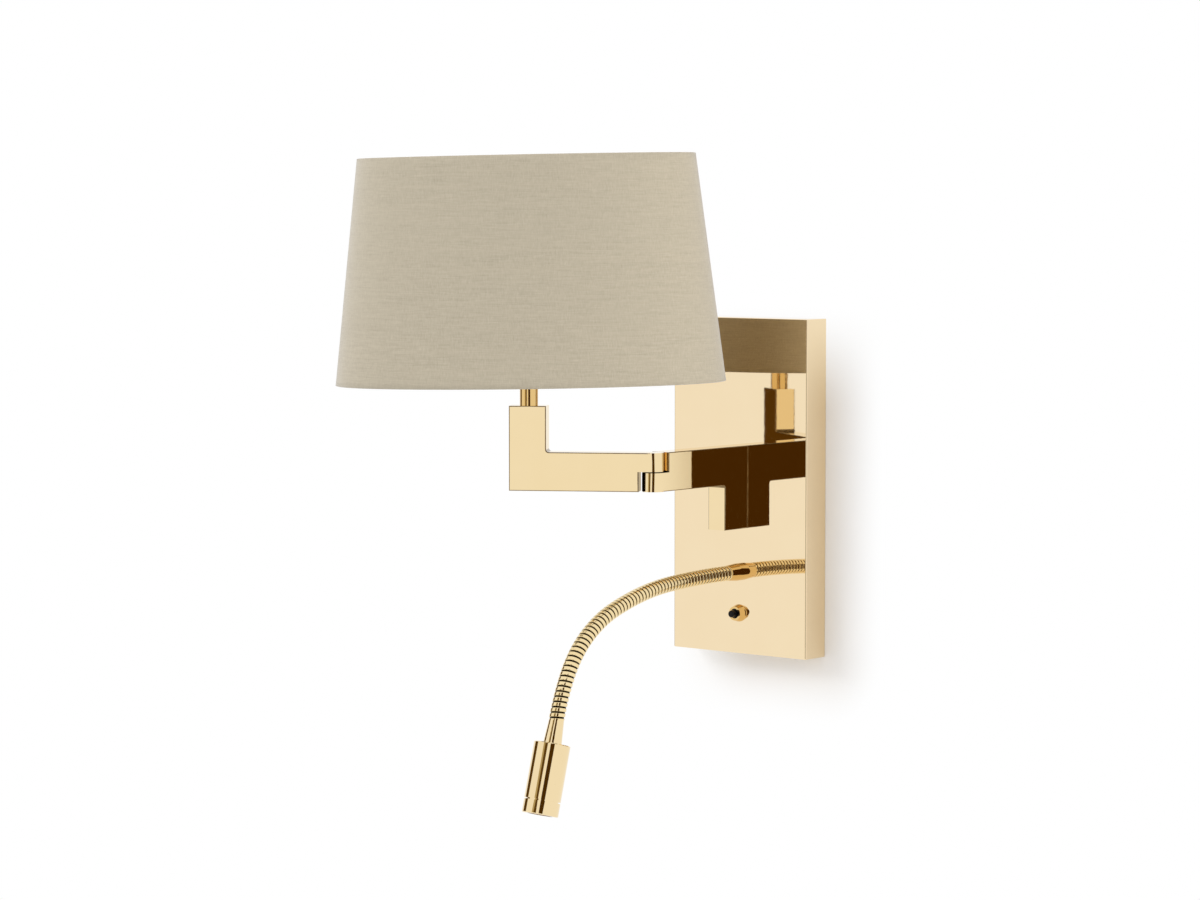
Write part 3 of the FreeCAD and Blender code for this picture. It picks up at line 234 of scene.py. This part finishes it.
# The largest part of the normal on a flat face, and where a rounded edge has begun.
FACE_SQUARE, EDGE_ROUND = 0.998, 0.985
ARM_TURN = math.radians(32.3)
ELBOW = Vector((0.0, -119.9 * MM, 0.0))
TONGUE_RADIUS = 7.9 * MM
OUTER_SHOULDER = 9.2 * MM
brass = metal(
    "polished_brass", BRASS_LIGHT, BRASS_DARK, BRASS_POLISH, BRASS_GRAIN, BRASS_MARKS
)
cover_brass = metal(
    "cover_brass", (0.900, 0.738, 0.495), (0.880, 0.712, 0.465), BRASS_POLISH, BRASS_GRAIN,
    BRASS_MARKS,
)
inner_brass = elbow_brass("inner_arm_brass", 0.0)
outer_brass = elbow_brass("outer_arm_brass", ARM_TURN, OUTER_SHOULDER)
# A darker, more orange copy of the brass: painted shade and dark reflection for the stem under
# the shade, the gooseneck collar and the switch nut.
shaded_brass = metal(
    "shaded_brass", (0.800, 0.560, 0.240), (0.730, 0.490, 0.190), SOFTER_POLISH, BRASS_GRAIN
)
brass_turned = metal(
    "turned_brass_lathe", BRASS_LIGHT, BRASS_DARK, (0.06, 0.13), (700, 700, 5200)
)
brass_rib = metal("gooseneck_rib", (0.92, 0.76, 0.46), (0.86, 0.67, 0.35), SOFTER_POLISH, 2600)
# Painted shade: the hose's grooves are near-black, for the shade down between the ribs.
groove_shade = metal(
    "gooseneck_groove_shade", (0.030, 0.020, 0.008), (0.012, 0.008, 0.003), (0.35, 0.55), 3000
)
steel = metal("zinc_plate", (0.60, 0.61, 0.60), (0.48, 0.49, 0.50), (0.25, 0.42), 420, 0.00005)
nickel = metal("nickel_plate", (0.72, 0.70, 0.66), (0.62, 0.60, 0.57), (0.12, 0.24), 900)
sink_metal = metal("sink_aluminium", (0.76, 0.76, 0.77), (0.66, 0.66, 0.68), (0.24, 0.38), 1500)
black_plastic = plastic("black_plastic", (0.0030, 0.0030, 0.0028), 0.14, shine=0.14)
white_plastic = plastic("white_plastic", (0.76, 0.76, 0.73), 0.42)
ceramic = plastic("white_ceramic", (0.80, 0.79, 0.75), 0.14, 500.0)
board = plastic("board_white", (0.72, 0.74, 0.72), 0.38, 1200.0)


def woven_fabric():
    """Slubbed silk: a fine weave, long level slubs and a soft sheen."""
    material, tree, shader = surface(
        "shade_silk", Specular_IOR_Level=0.28, Sheen_Weight=0.9, Sheen_Roughness=0.4
    )
    weft = tree.noise((70, 70, 2600), 3.0, 0.62)
    thread = tree.noise((90, 90, 1300), 3.0, 0.6)
    slub = tree.noise((14, 14, 480), 4.0, 0.66)
    warp = tree.noise((1250, 1250, 260), 2.0, 0.6)
    drift = tree.noise((3, 3, 26), 2.0, 0.5)
    fleck = tree.noise((45, 45, 1500), 1.0, 0.5)
    tone = tree.maths("MULTIPLY_ADD", thread, 0.4, tree.maths("MULTIPLY", warp, 0.4))
    tone = tree.maths("MULTIPLY_ADD", weft, 0.2, tone)
    tone = tree.between(tone, -0.6, 1.6)
    cloth = tree.blend(tone, (0.310, 0.265, 0.192), (0.560, 0.500, 0.386))
    streak = tree.between(slub, -0.35, 0.95)
    cloth = tree.blend(streak, cloth, (0.510, 0.448, 0.340))
    cloth = tree.blend(tree.between(drift, 0.0, 0.35), cloth, (0.450, 0.408, 0.316))
    dark = tree.add("ShaderNodeMapRange", {0: fleck, 1: 0.74, 2: 0.82, 3: 0.0, 4: 0.3})
    cloth = tree.blend(dark.outputs[0], cloth, (0.270, 0.225, 0.150))
    tree.put(shader, "Base Color", cloth)
    tree.put(shader, "Roughness", tree.between(weft, 0.62, 0.84))
    threads = tree.maths("ADD", tree.maths("ADD", weft, tree.maths("MULTIPLY", slub, 0.3)), warp)
    tree.put(shader, "Normal", tree.bump(threads, 0.00016, 0.8))
    return material


def lining():
    """Matt white styrene that stiffens the shade, with a faint rolled grain."""
    material, tree, shader = surface("shade_lining", Roughness=0.6, Specular_IOR_Level=0.3)
    grain = tree.noise((300, 300, 300), 3.0)
    tree.put(shader, "Base Color", tree.blend(grain, (0.74, 0.72, 0.67), (0.82, 0.80, 0.75)))
    tree.put(shader, "Normal", tree.bump(grain, 0.00003, 0.5))
    return material


def enamel():
    material, tree, shader = surface("wire_enamel", Roughness=0.3)
    grain = tree.noise(700.0)
    tree.put(shader, "Base Color", tree.blend(grain, (0.72, 0.71, 0.67), (0.80, 0.79, 0.75)))
    tree.put(shader, "Normal", tree.bump(grain, 0.00004, 0.5))
    return material


def frosted_glass():
    """Opal bulb glass, seen as a dense milky shell."""
    material, tree, shader = surface("opal_glass", Roughness=0.24, Specular_IOR_Level=0.5)
    shader.inputs["Transmission Weight"].default_value = 0.25
    milk = tree.noise(120.0, 2.0)
    tree.put(shader, "Base Color", tree.blend(milk, (0.84, 0.83, 0.79), (0.90, 0.89, 0.86)))
    tree.put(shader, "Normal", tree.bump(milk, 0.00004, 0.3))
    return material


def lens_material():
    """Moulded lens: clear, with fine concentric dimples in the face."""
    material, tree, shader = surface("lens_clear", Roughness=0.08, IOR=1.49)
    shader.inputs["Transmission Weight"].default_value = 0.85
    cells = tree.add(
        "ShaderNodeTexVoronoi", {"Vector": tree.coords((1100, 1100, 1100)), "Scale": 1.0}
    )
    tint = tree.blend(cells.outputs["Distance"], (0.90, 0.90, 0.86), (0.97, 0.97, 0.95))
    tree.put(shader, "Base Color", tint)
    tree.put(shader, "Normal", tree.bump(cells.outputs["Distance"], 0.00012, 0.6))
    return material


def phosphor_material():
    material, tree, shader = surface("led_phosphor", Roughness=0.45)
    grain = tree.noise(3000.0)
    tree.put(shader, "Base Color", tree.blend(grain, (0.82, 0.62, 0.10), (0.90, 0.74, 0.20)))
    tree.put(shader, "Normal", tree.bump(grain, 0.00005, 0.6))
    return material


silk = woven_fabric()
backing = lining()
wire_enamel = enamel()
opal = frosted_glass()
lens_glass = lens_material()
phosphor = phosphor_material()

FINISHES = {
    cover_brass: ["wall_plate"],
    inner_brass: ["inner_arm"],
    outer_brass: ["outer_arm"],
    brass: [
        "lampholder_shell", "shade_ring_nut", "head_housing", "head_bezel", "head_cone",
    ],
    shaded_brass: ["stem_tube", "gooseneck_collar", "switch_nut"],
    brass_turned: [
        "elbow_pivot", "elbow_nut", "stem_threaded_tube", "lampholder_contact_sleeve",
    ],
    steel: [
        "mounting_bracket", "cover_screws", "arm_stiffener", "arm_screws", "gooseneck_nut",
        "earth_screw", "elbow_spring_washer", "switch_spring",
    ],
    nickel: ["bulb_cap"],
    sink_metal: ["head_heat_sink"],
    black_plastic: ["switch_case", "switch_base", "push_button", "elbow_friction_washer"],
    white_plastic: ["led_driver", "terminal_block"],
    ceramic: ["lampholder_insert"],
    board: ["led_board"],
    wire_enamel: ["shade_top_ring", "shade_bottom_ring", "shade_carrier"],
    opal: ["bulb_glass"],
    lens_glass: ["head_lens"],
    phosphor: ["led_emitter"],
}

SMOOTH_BELOW = math.radians(32)
WELD_WITHIN = 1e-6


def dress_node(name, material):
    """Gives a CAD node its material, and shades its round faces smooth."""
    thing = nodes[name]
    thing.data.materials.clear()
    thing.data.materials.append(material)
    thing.data.polygons.foreach_set("use_smooth", [True] * len(thing.data.polygons))
    thing.data.polygons.foreach_set("material_index", [0] * len(thing.data.polygons))
    weld = thing.modifiers.new("weld", "WELD")
    weld.merge_threshold = WELD_WITHIN
    split = thing.modifiers.new("creases", "EDGE_SPLIT")
    split.split_angle = SMOOTH_BELOW
    split.use_edge_sharp = False
    level = thing.modifiers.new("flat_faces", "WEIGHTED_NORMAL")
    level.mode = "FACE_AREA"
    level.weight = 100


for material, names in FINISHES.items():
    for name in names:
        dress_node(name, material)


def make_piece(name, verts, faces, materials, face_slots=None, smooth=True):
    mesh = bpy.data.meshes.new(name)
    mesh.from_pydata(verts, [], faces)
    for material in materials:
        mesh.materials.append(material)
    if face_slots is not None:
        mesh.polygons.foreach_set("material_index", face_slots)
    mesh.polygons.foreach_set("use_smooth", [smooth] * len(faces))
    thing = bpy.data.objects.new(name, mesh)
    scene.collection.objects.link(thing)
    return thing


# ---------------------------------------------------------------- gooseneck

# The same run as the CAD solids: seven stretches, each turning down by so much.
HOSE_TURNS = [2.0, 2.0, 8.0, 7.0, 19.0, 24.0, 12.5]
HOSE_PART = 31.8 * MM
HOSE_START = Vector((0.0, -36.7 * MM, -61.4 * MM))
RIBS_IN_PART = 9
HOSE_CREST = 5.35 * MM
HOSE_ROOT = 4.65 * MM
HOSE_HELD = 4.9 * MM  # inside the collar and the cone
HOSE_SIDES = 40
PITCH = HOSE_PART / RIBS_IN_PART
# One turn of the winding: (share of the pitch, share of the rib's height, in a groove).
RIB_PROFILE = [
    (0.00, 0.00, True), (0.13, 0.02, True), (0.16, 0.50, True), (0.18, 0.92, False),
    (0.22, 0.99, False), (0.30, 1.00, False), (0.70, 1.00, False), (0.78, 0.99, False),
    (0.82, 0.92, False), (0.84, 0.50, True), (0.87, 0.02, True),
]


def hose_place(distance):
    """Point and angle below level at a distance along the gooseneck."""
    point, angle = HOSE_START.copy(), 0.0
    for index, turn in enumerate(HOSE_TURNS):
        left = distance - index * HOSE_PART
        last = index == len(HOSE_TURNS) - 1
        share = left / HOSE_PART if last else min(left / HOSE_PART, 1.0)
        swept = turn * share
        middle, half = math.radians(angle + swept / 2), math.radians(swept / 2)
        chord = HOSE_PART * share * (math.sin(half) / half if abs(half) > 1e-9 else 1.0)
        point = point + Vector((0, -chord * math.cos(middle), -chord * math.sin(middle)))
        angle += swept
        if not last and left <= HOSE_PART:
            break
    return point, math.radians(angle)


def hose_piece(name, first_rib, last_rib):
    """A length of wound hose: its rings climb by one rib in each turn round it."""
    total = len(HOSE_TURNS) * HOSE_PART
    steps = [
        (rib + share, height, groove)
        for rib in range(first_rib, last_rib)
        for share, height, groove in RIB_PROFILE
    ]
    steps.append((last_rib, 0.0, True))
    verts, faces, slots = [], [], []
    columns = HOSE_SIDES + 1
    for turns, height, _ in steps:
        for side in range(columns):
            distance = PITCH * (turns + side / HOSE_SIDES - 0.5)
            radius = HOSE_ROOT + (HOSE_CREST - HOSE_ROOT) * height
            if not 0 <= distance <= total:
                radius = min(radius, HOSE_HELD)
            point, angle = hose_place(distance)
            turn = 2 * math.pi * side / HOSE_SIDES
            right = Vector((radius * math.cos(turn), 0, 0))
            up = Vector((0, -math.sin(angle), math.cos(angle)))
            verts.append(point + right + up * radius * math.sin(turn))
    for row in range(len(steps) - 1):
        # Faces that lie wholly in a groove take the painted groove shade.
        in_groove = steps[row][2] and steps[row + 1][2]
        for side in range(HOSE_SIDES):
            here, above = row * columns + side, (row + 1) * columns + side
            faces.append((here, above, above + 1, here + 1))
            slots.append(1 if in_groove else 0)
    piece = make_piece(name, verts, faces, [brass_rib, groove_shade], slots)
    form = bmesh.new()
    form.from_mesh(piece.data)
    bmesh.ops.remove_doubles(form, verts=form.verts, dist=WELD_WITHIN)
    bmesh.ops.recalc_face_normals(form, faces=form.faces)
    form.to_mesh(piece.data)
    form.free()
    return piece


def build_gooseneck():
    """Six pieces, each from the middle of one stretch to the middle of the next."""
    count = len(HOSE_TURNS)
    middle = RIBS_IN_PART // 2 + 1
    for k in range(1, count):
        first = -1 if k == 1 else (k - 1) * RIBS_IN_PART + middle
        last = count * RIBS_IN_PART + 1 if k == count - 1 else k * RIBS_IN_PART + middle
        piece = hose_piece(f"gooseneck_winding_{k}", first, last)
        start, _ = hose_place((k - 0.5) * HOSE_PART + PITCH)
        end, _ = hose_place((k + 0.5) * HOSE_PART)
        stood_for = [f"gooseneck_hose_{k}"]
        if k == count - 1:
            stood_for.append(f"gooseneck_hose_{count}")
        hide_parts(*stood_for)
        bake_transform(piece)


build_gooseneck()

# ---------------------------------------------------------------- shade

STEM_REACH = 86.7 * MM
SHADE_LEAN = math.radians(1.05)
# The upright's top, the stem, the lampholder up to its shoulder, and the ring's play.
CARRIER_LEVEL = (61.3 + 34.7 + 22.5 + 0.4) * MM
SHADE_DROP = 42.2 * MM
SHADE_HEIGHT = 157.3 * MM
BOTTOM_AXES = (136.5 * MM, 82.0 * MM)
TOP_AXES = (118.0 * MM, 71.0 * MM)
SKIN = 1.2 * MM
HEM = 7.0 * MM
HEM_STEP = 0.1 * MM  # the turned-over fabric stands this much off the lining's face
EDGE_ROLL = 0.35 * MM
EDGE_SHOULDER = 0.08 * MM
SEAM = (math.radians(86), math.radians(91.5))
SEAM_LIFT = 0.3 * MM
SHADE_SIDES = 192
ROWS = 40
LINING_ROWS = 8


def shade_matrix():
    foot = ELBOW + Vector((-STEM_REACH * math.cos(ARM_TURN), -STEM_REACH * math.sin(ARM_TURN), 0))
    foot.z = CARRIER_LEVEL
    turned = Matrix.Rotation(ARM_TURN, 4, "Z")
    lean = Matrix.Rotation(SHADE_LEAN, 4, Vector((0, -1, 0)))
    return Matrix.Translation(foot) @ turned @ lean


def oval_point(turn, level, inward):
    """A point on the shade's oval cone, level above its bottom edge, moved inward."""
    share = level / SHADE_HEIGHT
    a = BOTTOM_AXES[0] + (TOP_AXES[0] - BOTTOM_AXES[0]) * share
    b = BOTTOM_AXES[1] + (TOP_AXES[1] - BOTTOM_AXES[1]) * share
    normal = Vector((math.cos(turn) / a, math.sin(turn) / b, 0)).normalized()
    spot = Vector((a * math.cos(turn), b * math.sin(turn), level - SHADE_DROP))
    return spot - normal * inward


def build_shade():
    """Fabric over a stiff lining, turned over both edges, with a lapped seam behind."""
    place = shade_matrix()
    turns = sorted([2 * math.pi * k / SHADE_SIDES for k in range(SHADE_SIDES)] + list(SEAM))
    sides = len(turns)
    folded, lined_face = SKIN + HEM_STEP, SKIN - HEM_STEP
    # The outline of the wall: (inward from the outside, level, 1 where it is lining).
    outline = [
        (0.0, EDGE_ROLL + (SHADE_HEIGHT - 2 * EDGE_ROLL) * k / ROWS, 0) for k in range(ROWS + 1)
    ]
    outline += [
        (0.25 * SKIN, SHADE_HEIGHT - EDGE_SHOULDER, 0), (0.5 * SKIN, SHADE_HEIGHT, 0),
        (0.8 * SKIN, SHADE_HEIGHT - EDGE_SHOULDER, 0), (folded, SHADE_HEIGHT - EDGE_ROLL, 0),
        (folded, SHADE_HEIGHT - HEM, 0), (lined_face, SHADE_HEIGHT - HEM, 1),
    ]
    for k in range(1, LINING_ROWS):
        level = SHADE_HEIGHT - HEM + (2 * HEM - SHADE_HEIGHT) * k / LINING_ROWS
        outline.append((lined_face, level, 1))
    outline += [
        (lined_face, HEM, 1), (folded, HEM, 0), (folded, EDGE_ROLL, 0),
        (0.8 * SKIN, EDGE_SHOULDER, 0), (0.5 * SKIN, 0.0, 0), (0.25 * SKIN, EDGE_SHOULDER, 0),
    ]
    verts = []
    for inward, level, _ in outline:
        for turn in turns:
            lap = SEAM_LIFT if inward == 0.0 and SEAM[0] < turn < SEAM[1] else 0.0
            verts.append(place @ oval_point(turn, level, inward + HEM_STEP - lap))
    faces, slots = [], []
    rows = len(outline)
    for row in range(rows):
        after = (row + 1) % rows
        lined = 1 if outline[row][2] and outline[after][2] else 0
        for side in range(sides):
            following = (side + 1) % sides
            faces.append((
                row * sides + side, row * sides + following,
                after * sides + following, after * sides + side,
            ))
            slots.append(lined)
    shade = make_piece("shade_cover", verts, faces, [silk, backing], slots)
    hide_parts("shade_skin")
    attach(shade, "outer_arm")


build_shade()

# ---------------------------------------------------------------- wall, light, camera


# The wall's paint where the cover's shadow falls, and as a source of bounced light. The
# camera, metal and glass all see the same wall, which is plain white elsewhere.
WALL_SHADED = (0.94, 0.910, 0.88)
WHITE = (1.0, 1.0, 1.0, 1.0)
BOUNCE_BEHIND = (0.52, 0.47, 0.40)
BOUNCE_RIGHT = (0.95, 0.92, 0.88)
COVER_HALF_WIDTH = 0.0595
COVER_HALF_HEIGHT = 0.120
OPENING_HALF_WIDTH = 0.055
OPENING_HALF_HEIGHT = 0.115
WALL_REACH = 3.0
WALL_BEHIND = 0.0003  # the wall stands this far behind the cover's edge
# Where the wall is matt and takes the shadow. Each runs from none to full.
SHADOW_AWAY = (0.051, 0.002)  # distance from the cover's edge
SHADOW_ACROSS = (-0.085, 0.000)  # from the left
SHADOW_DOWN = (COVER_HALF_HEIGHT + 0.010, 0.050)  # from the top
BOUNCE_ACROSS = (0.02, 0.16)  # from behind the lamp to its right


def wall_material():
    """White to the camera, metal and glass, matt in the shadow, and clear from behind."""
    material = bpy.data.materials.new("studio_wall")
    tree = empty_nodes(material)
    seen = tree.seen_plainly()
    place = tree.add("ShaderNodeTexCoord").outputs["Object"]
    part = tree.add("ShaderNodeSeparateXYZ", {0: place})
    beside = tree.maths("ABSOLUTE", part.outputs[0])
    beside = tree.maths("MAXIMUM", tree.maths("SUBTRACT", beside, COVER_HALF_WIDTH), 0.0)
    beyond = tree.maths("ABSOLUTE", part.outputs[2])
    beyond = tree.maths("MAXIMUM", tree.maths("SUBTRACT", beyond, COVER_HALF_HEIGHT), 0.0)
    away = tree.maths("SQRT", tree.maths(
        "ADD", tree.maths("MULTIPLY", beside, beside), tree.maths("MULTIPLY", beyond, beyond)
    ))
    near = tree.soft_step(away, *SHADOW_AWAY)
    rightwards = tree.soft_step(part.outputs[0], *SHADOW_ACROSS)
    lower = tree.soft_step(part.outputs[2], *SHADOW_DOWN)
    shaded = tree.maths("MULTIPLY", near, tree.maths("MULTIPLY", rightwards, lower))
    to_right = tree.soft_step(part.outputs[0], *BOUNCE_ACROSS)
    paint = tree.blend(to_right, BOUNCE_BEHIND, BOUNCE_RIGHT)
    paint = tree.blend(seen, paint, WALL_SHADED)
    diffuse = tree.add("ShaderNodeBsdfDiffuse", {"Color": paint})
    white = tree.add("ShaderNodeEmission", {"Color": WHITE})
    plain = tree.maths("MULTIPLY", seen, tree.maths("SUBTRACT", 1.0, shaded))
    front = tree.add("ShaderNodeMixShader", {0: plain})
    tree.put(front, 1, diffuse.outputs[0])
    tree.put(front, 2, white.outputs[0])
    clear = tree.add("ShaderNodeBsdfTransparent")
    behind = tree.add("ShaderNodeNewGeometry").outputs["Backfacing"]
    mix = tree.add("ShaderNodeMixShader", {0: behind})
    tree.put(mix, 1, front.outputs[0])
    tree.put(mix, 2, clear.outputs[0])
    output = tree.add("ShaderNodeOutputMaterial")
    tree.put(output, "Surface", mix.outputs[0])
    return material


def build_wall():
    """The wall behind the lamp, with an opening that the wall cover hides."""
    corners = [(-1, -1), (1, -1), (1, 1), (-1, 1)]
    outer = [(x * WALL_REACH, z * WALL_REACH) for x, z in corners]
    inner = [(x * OPENING_HALF_WIDTH, z * OPENING_HALF_HEIGHT) for x, z in corners]
    verts = [(x, WALL_BEHIND, z) for x, z in outer + inner]
    faces = [(k, (k + 1) % 4, (k + 1) % 4 + 4, k + 4) for k in range(4)]
    wall = make_piece("studio_wall", verts, faces, [wall_material()], smooth=False)


build_wall()

CAMERA_AZIMUTH = math.radians(40.04)
CAMERA_PITCH = math.radians(4.093)
CAMERA_PLACE = Vector((1.5404, -2.0100, 0.2055))
FOCAL_PIXELS = 3536.3
FRAME_WIDTH = 1200
SENSOR_WIDTH = 36.0


def build_camera():
    data = bpy.data.cameras.new("camera")
    data.sensor_fit = "HORIZONTAL"
    data.sensor_width = SENSOR_WIDTH
    data.lens = FOCAL_PIXELS / FRAME_WIDTH * SENSOR_WIDTH
    data.clip_start, data.clip_end = 0.05, 50.0
    camera = bpy.data.objects.new("camera", data)
    scene.collection.objects.link(camera)
    camera.location = CAMERA_PLACE
    camera.rotation_euler = (math.pi / 2 - CAMERA_PITCH, 0.0, CAMERA_AZIMUTH)
    scene.camera = camera


build_camera()


# Dark panels that stand round the lamp, for the dark stripes in the polished brass: (from
# and to azimuth in degrees, brightness). Azimuth 0 lies straight out from the wall and 90
# to the right.
PANELS = [(-88, -59, 0.10), (-13, -2, 0.50), (-2, 12, 0.12), (29, 53, 0.07)]
PANEL_DISTANCE = 2.8
PANEL_FOOT, PANEL_TOP = -1.3, 1.5
PANEL_STEPS = 6
AMBIENT = 0.80  # the world's light on the lamp


def panel_material(brightness):
    """Dim card, warmer the darker it is, with a faint uneven tone."""
    material = bpy.data.materials.new("studio_card")
    tree = empty_nodes(material)
    card = (brightness, brightness ** 1.3, brightness ** 2.2)
    low, high = (tuple(channel * share for channel in card) for share in (0.85, 1.15))
    shown = tree.add("ShaderNodeEmission", {"Color": tree.blend(tree.noise(2.0), low, high)})
    output = tree.add("ShaderNodeOutputMaterial")
    tree.put(output, "Surface", shown.outputs[0])
    return material


def build_panels():
    """Only polished surfaces see the panels; they throw no light or shade."""
    for index, (start, end, brightness) in enumerate(PANELS):
        verts, faces = [], []
        for step in range(PANEL_STEPS + 1):
            turn = math.radians(start + (end - start) * step / PANEL_STEPS)
            x, y = PANEL_DISTANCE * math.sin(turn), -PANEL_DISTANCE * math.cos(turn)
            verts += [(x, y, PANEL_FOOT), (x, y, PANEL_TOP)]
        for step in range(PANEL_STEPS):
            faces.append((2 * step, 2 * step + 2, 2 * step + 3, 2 * step + 1))
        card = panel_material(brightness)
        panel = make_piece(f"studio_panel_{index + 1}", verts, faces, [card])
        panel.visible_camera = False
        panel.visible_diffuse = False
        panel.visible_transmission = False
        panel.visible_shadow = False


build_panels()


def build_world():
    """Even white light, and plain white to the camera, metal and glass."""
    world = bpy.data.worlds.new("studio")
    scene.world = world
    tree = empty_nodes(world)
    strength = tree.between(tree.seen_plainly(), AMBIENT, 1.0)
    background = tree.add("ShaderNodeBackground", {"Color": WHITE, "Strength": strength})
    output = tree.add("ShaderNodeOutputWorld")
    tree.put(output, "Surface", background.outputs[0])


def area_light(name, place, target, size, power):
    """A soft lamp, not mirrored in the brass."""
    data = bpy.data.lights.new(name, "AREA")
    data.shape = "RECTANGLE"
    data.size, data.size_y = size
    data.energy = power
    lamp = bpy.data.objects.new(name, data)
    scene.collection.objects.link(lamp)
    lamp.location = place
    aim = Vector(target) - Vector(place)
    lamp.rotation_euler = aim.to_track_quat("-Z", "Y").to_euler()
    lamp.visible_glossy = False


build_world()
area_light("key", (-1.5, -1.5, 1.3), (0.0, -0.05, 0.0), (1.2, 1.2), 27.0)
area_light("side", (1.7, -0.15, 0.3), (0.0, -0.15, 0.1), (0.7, 1.4), 17.0)

scene.view_settings.view_transform = "Standard"
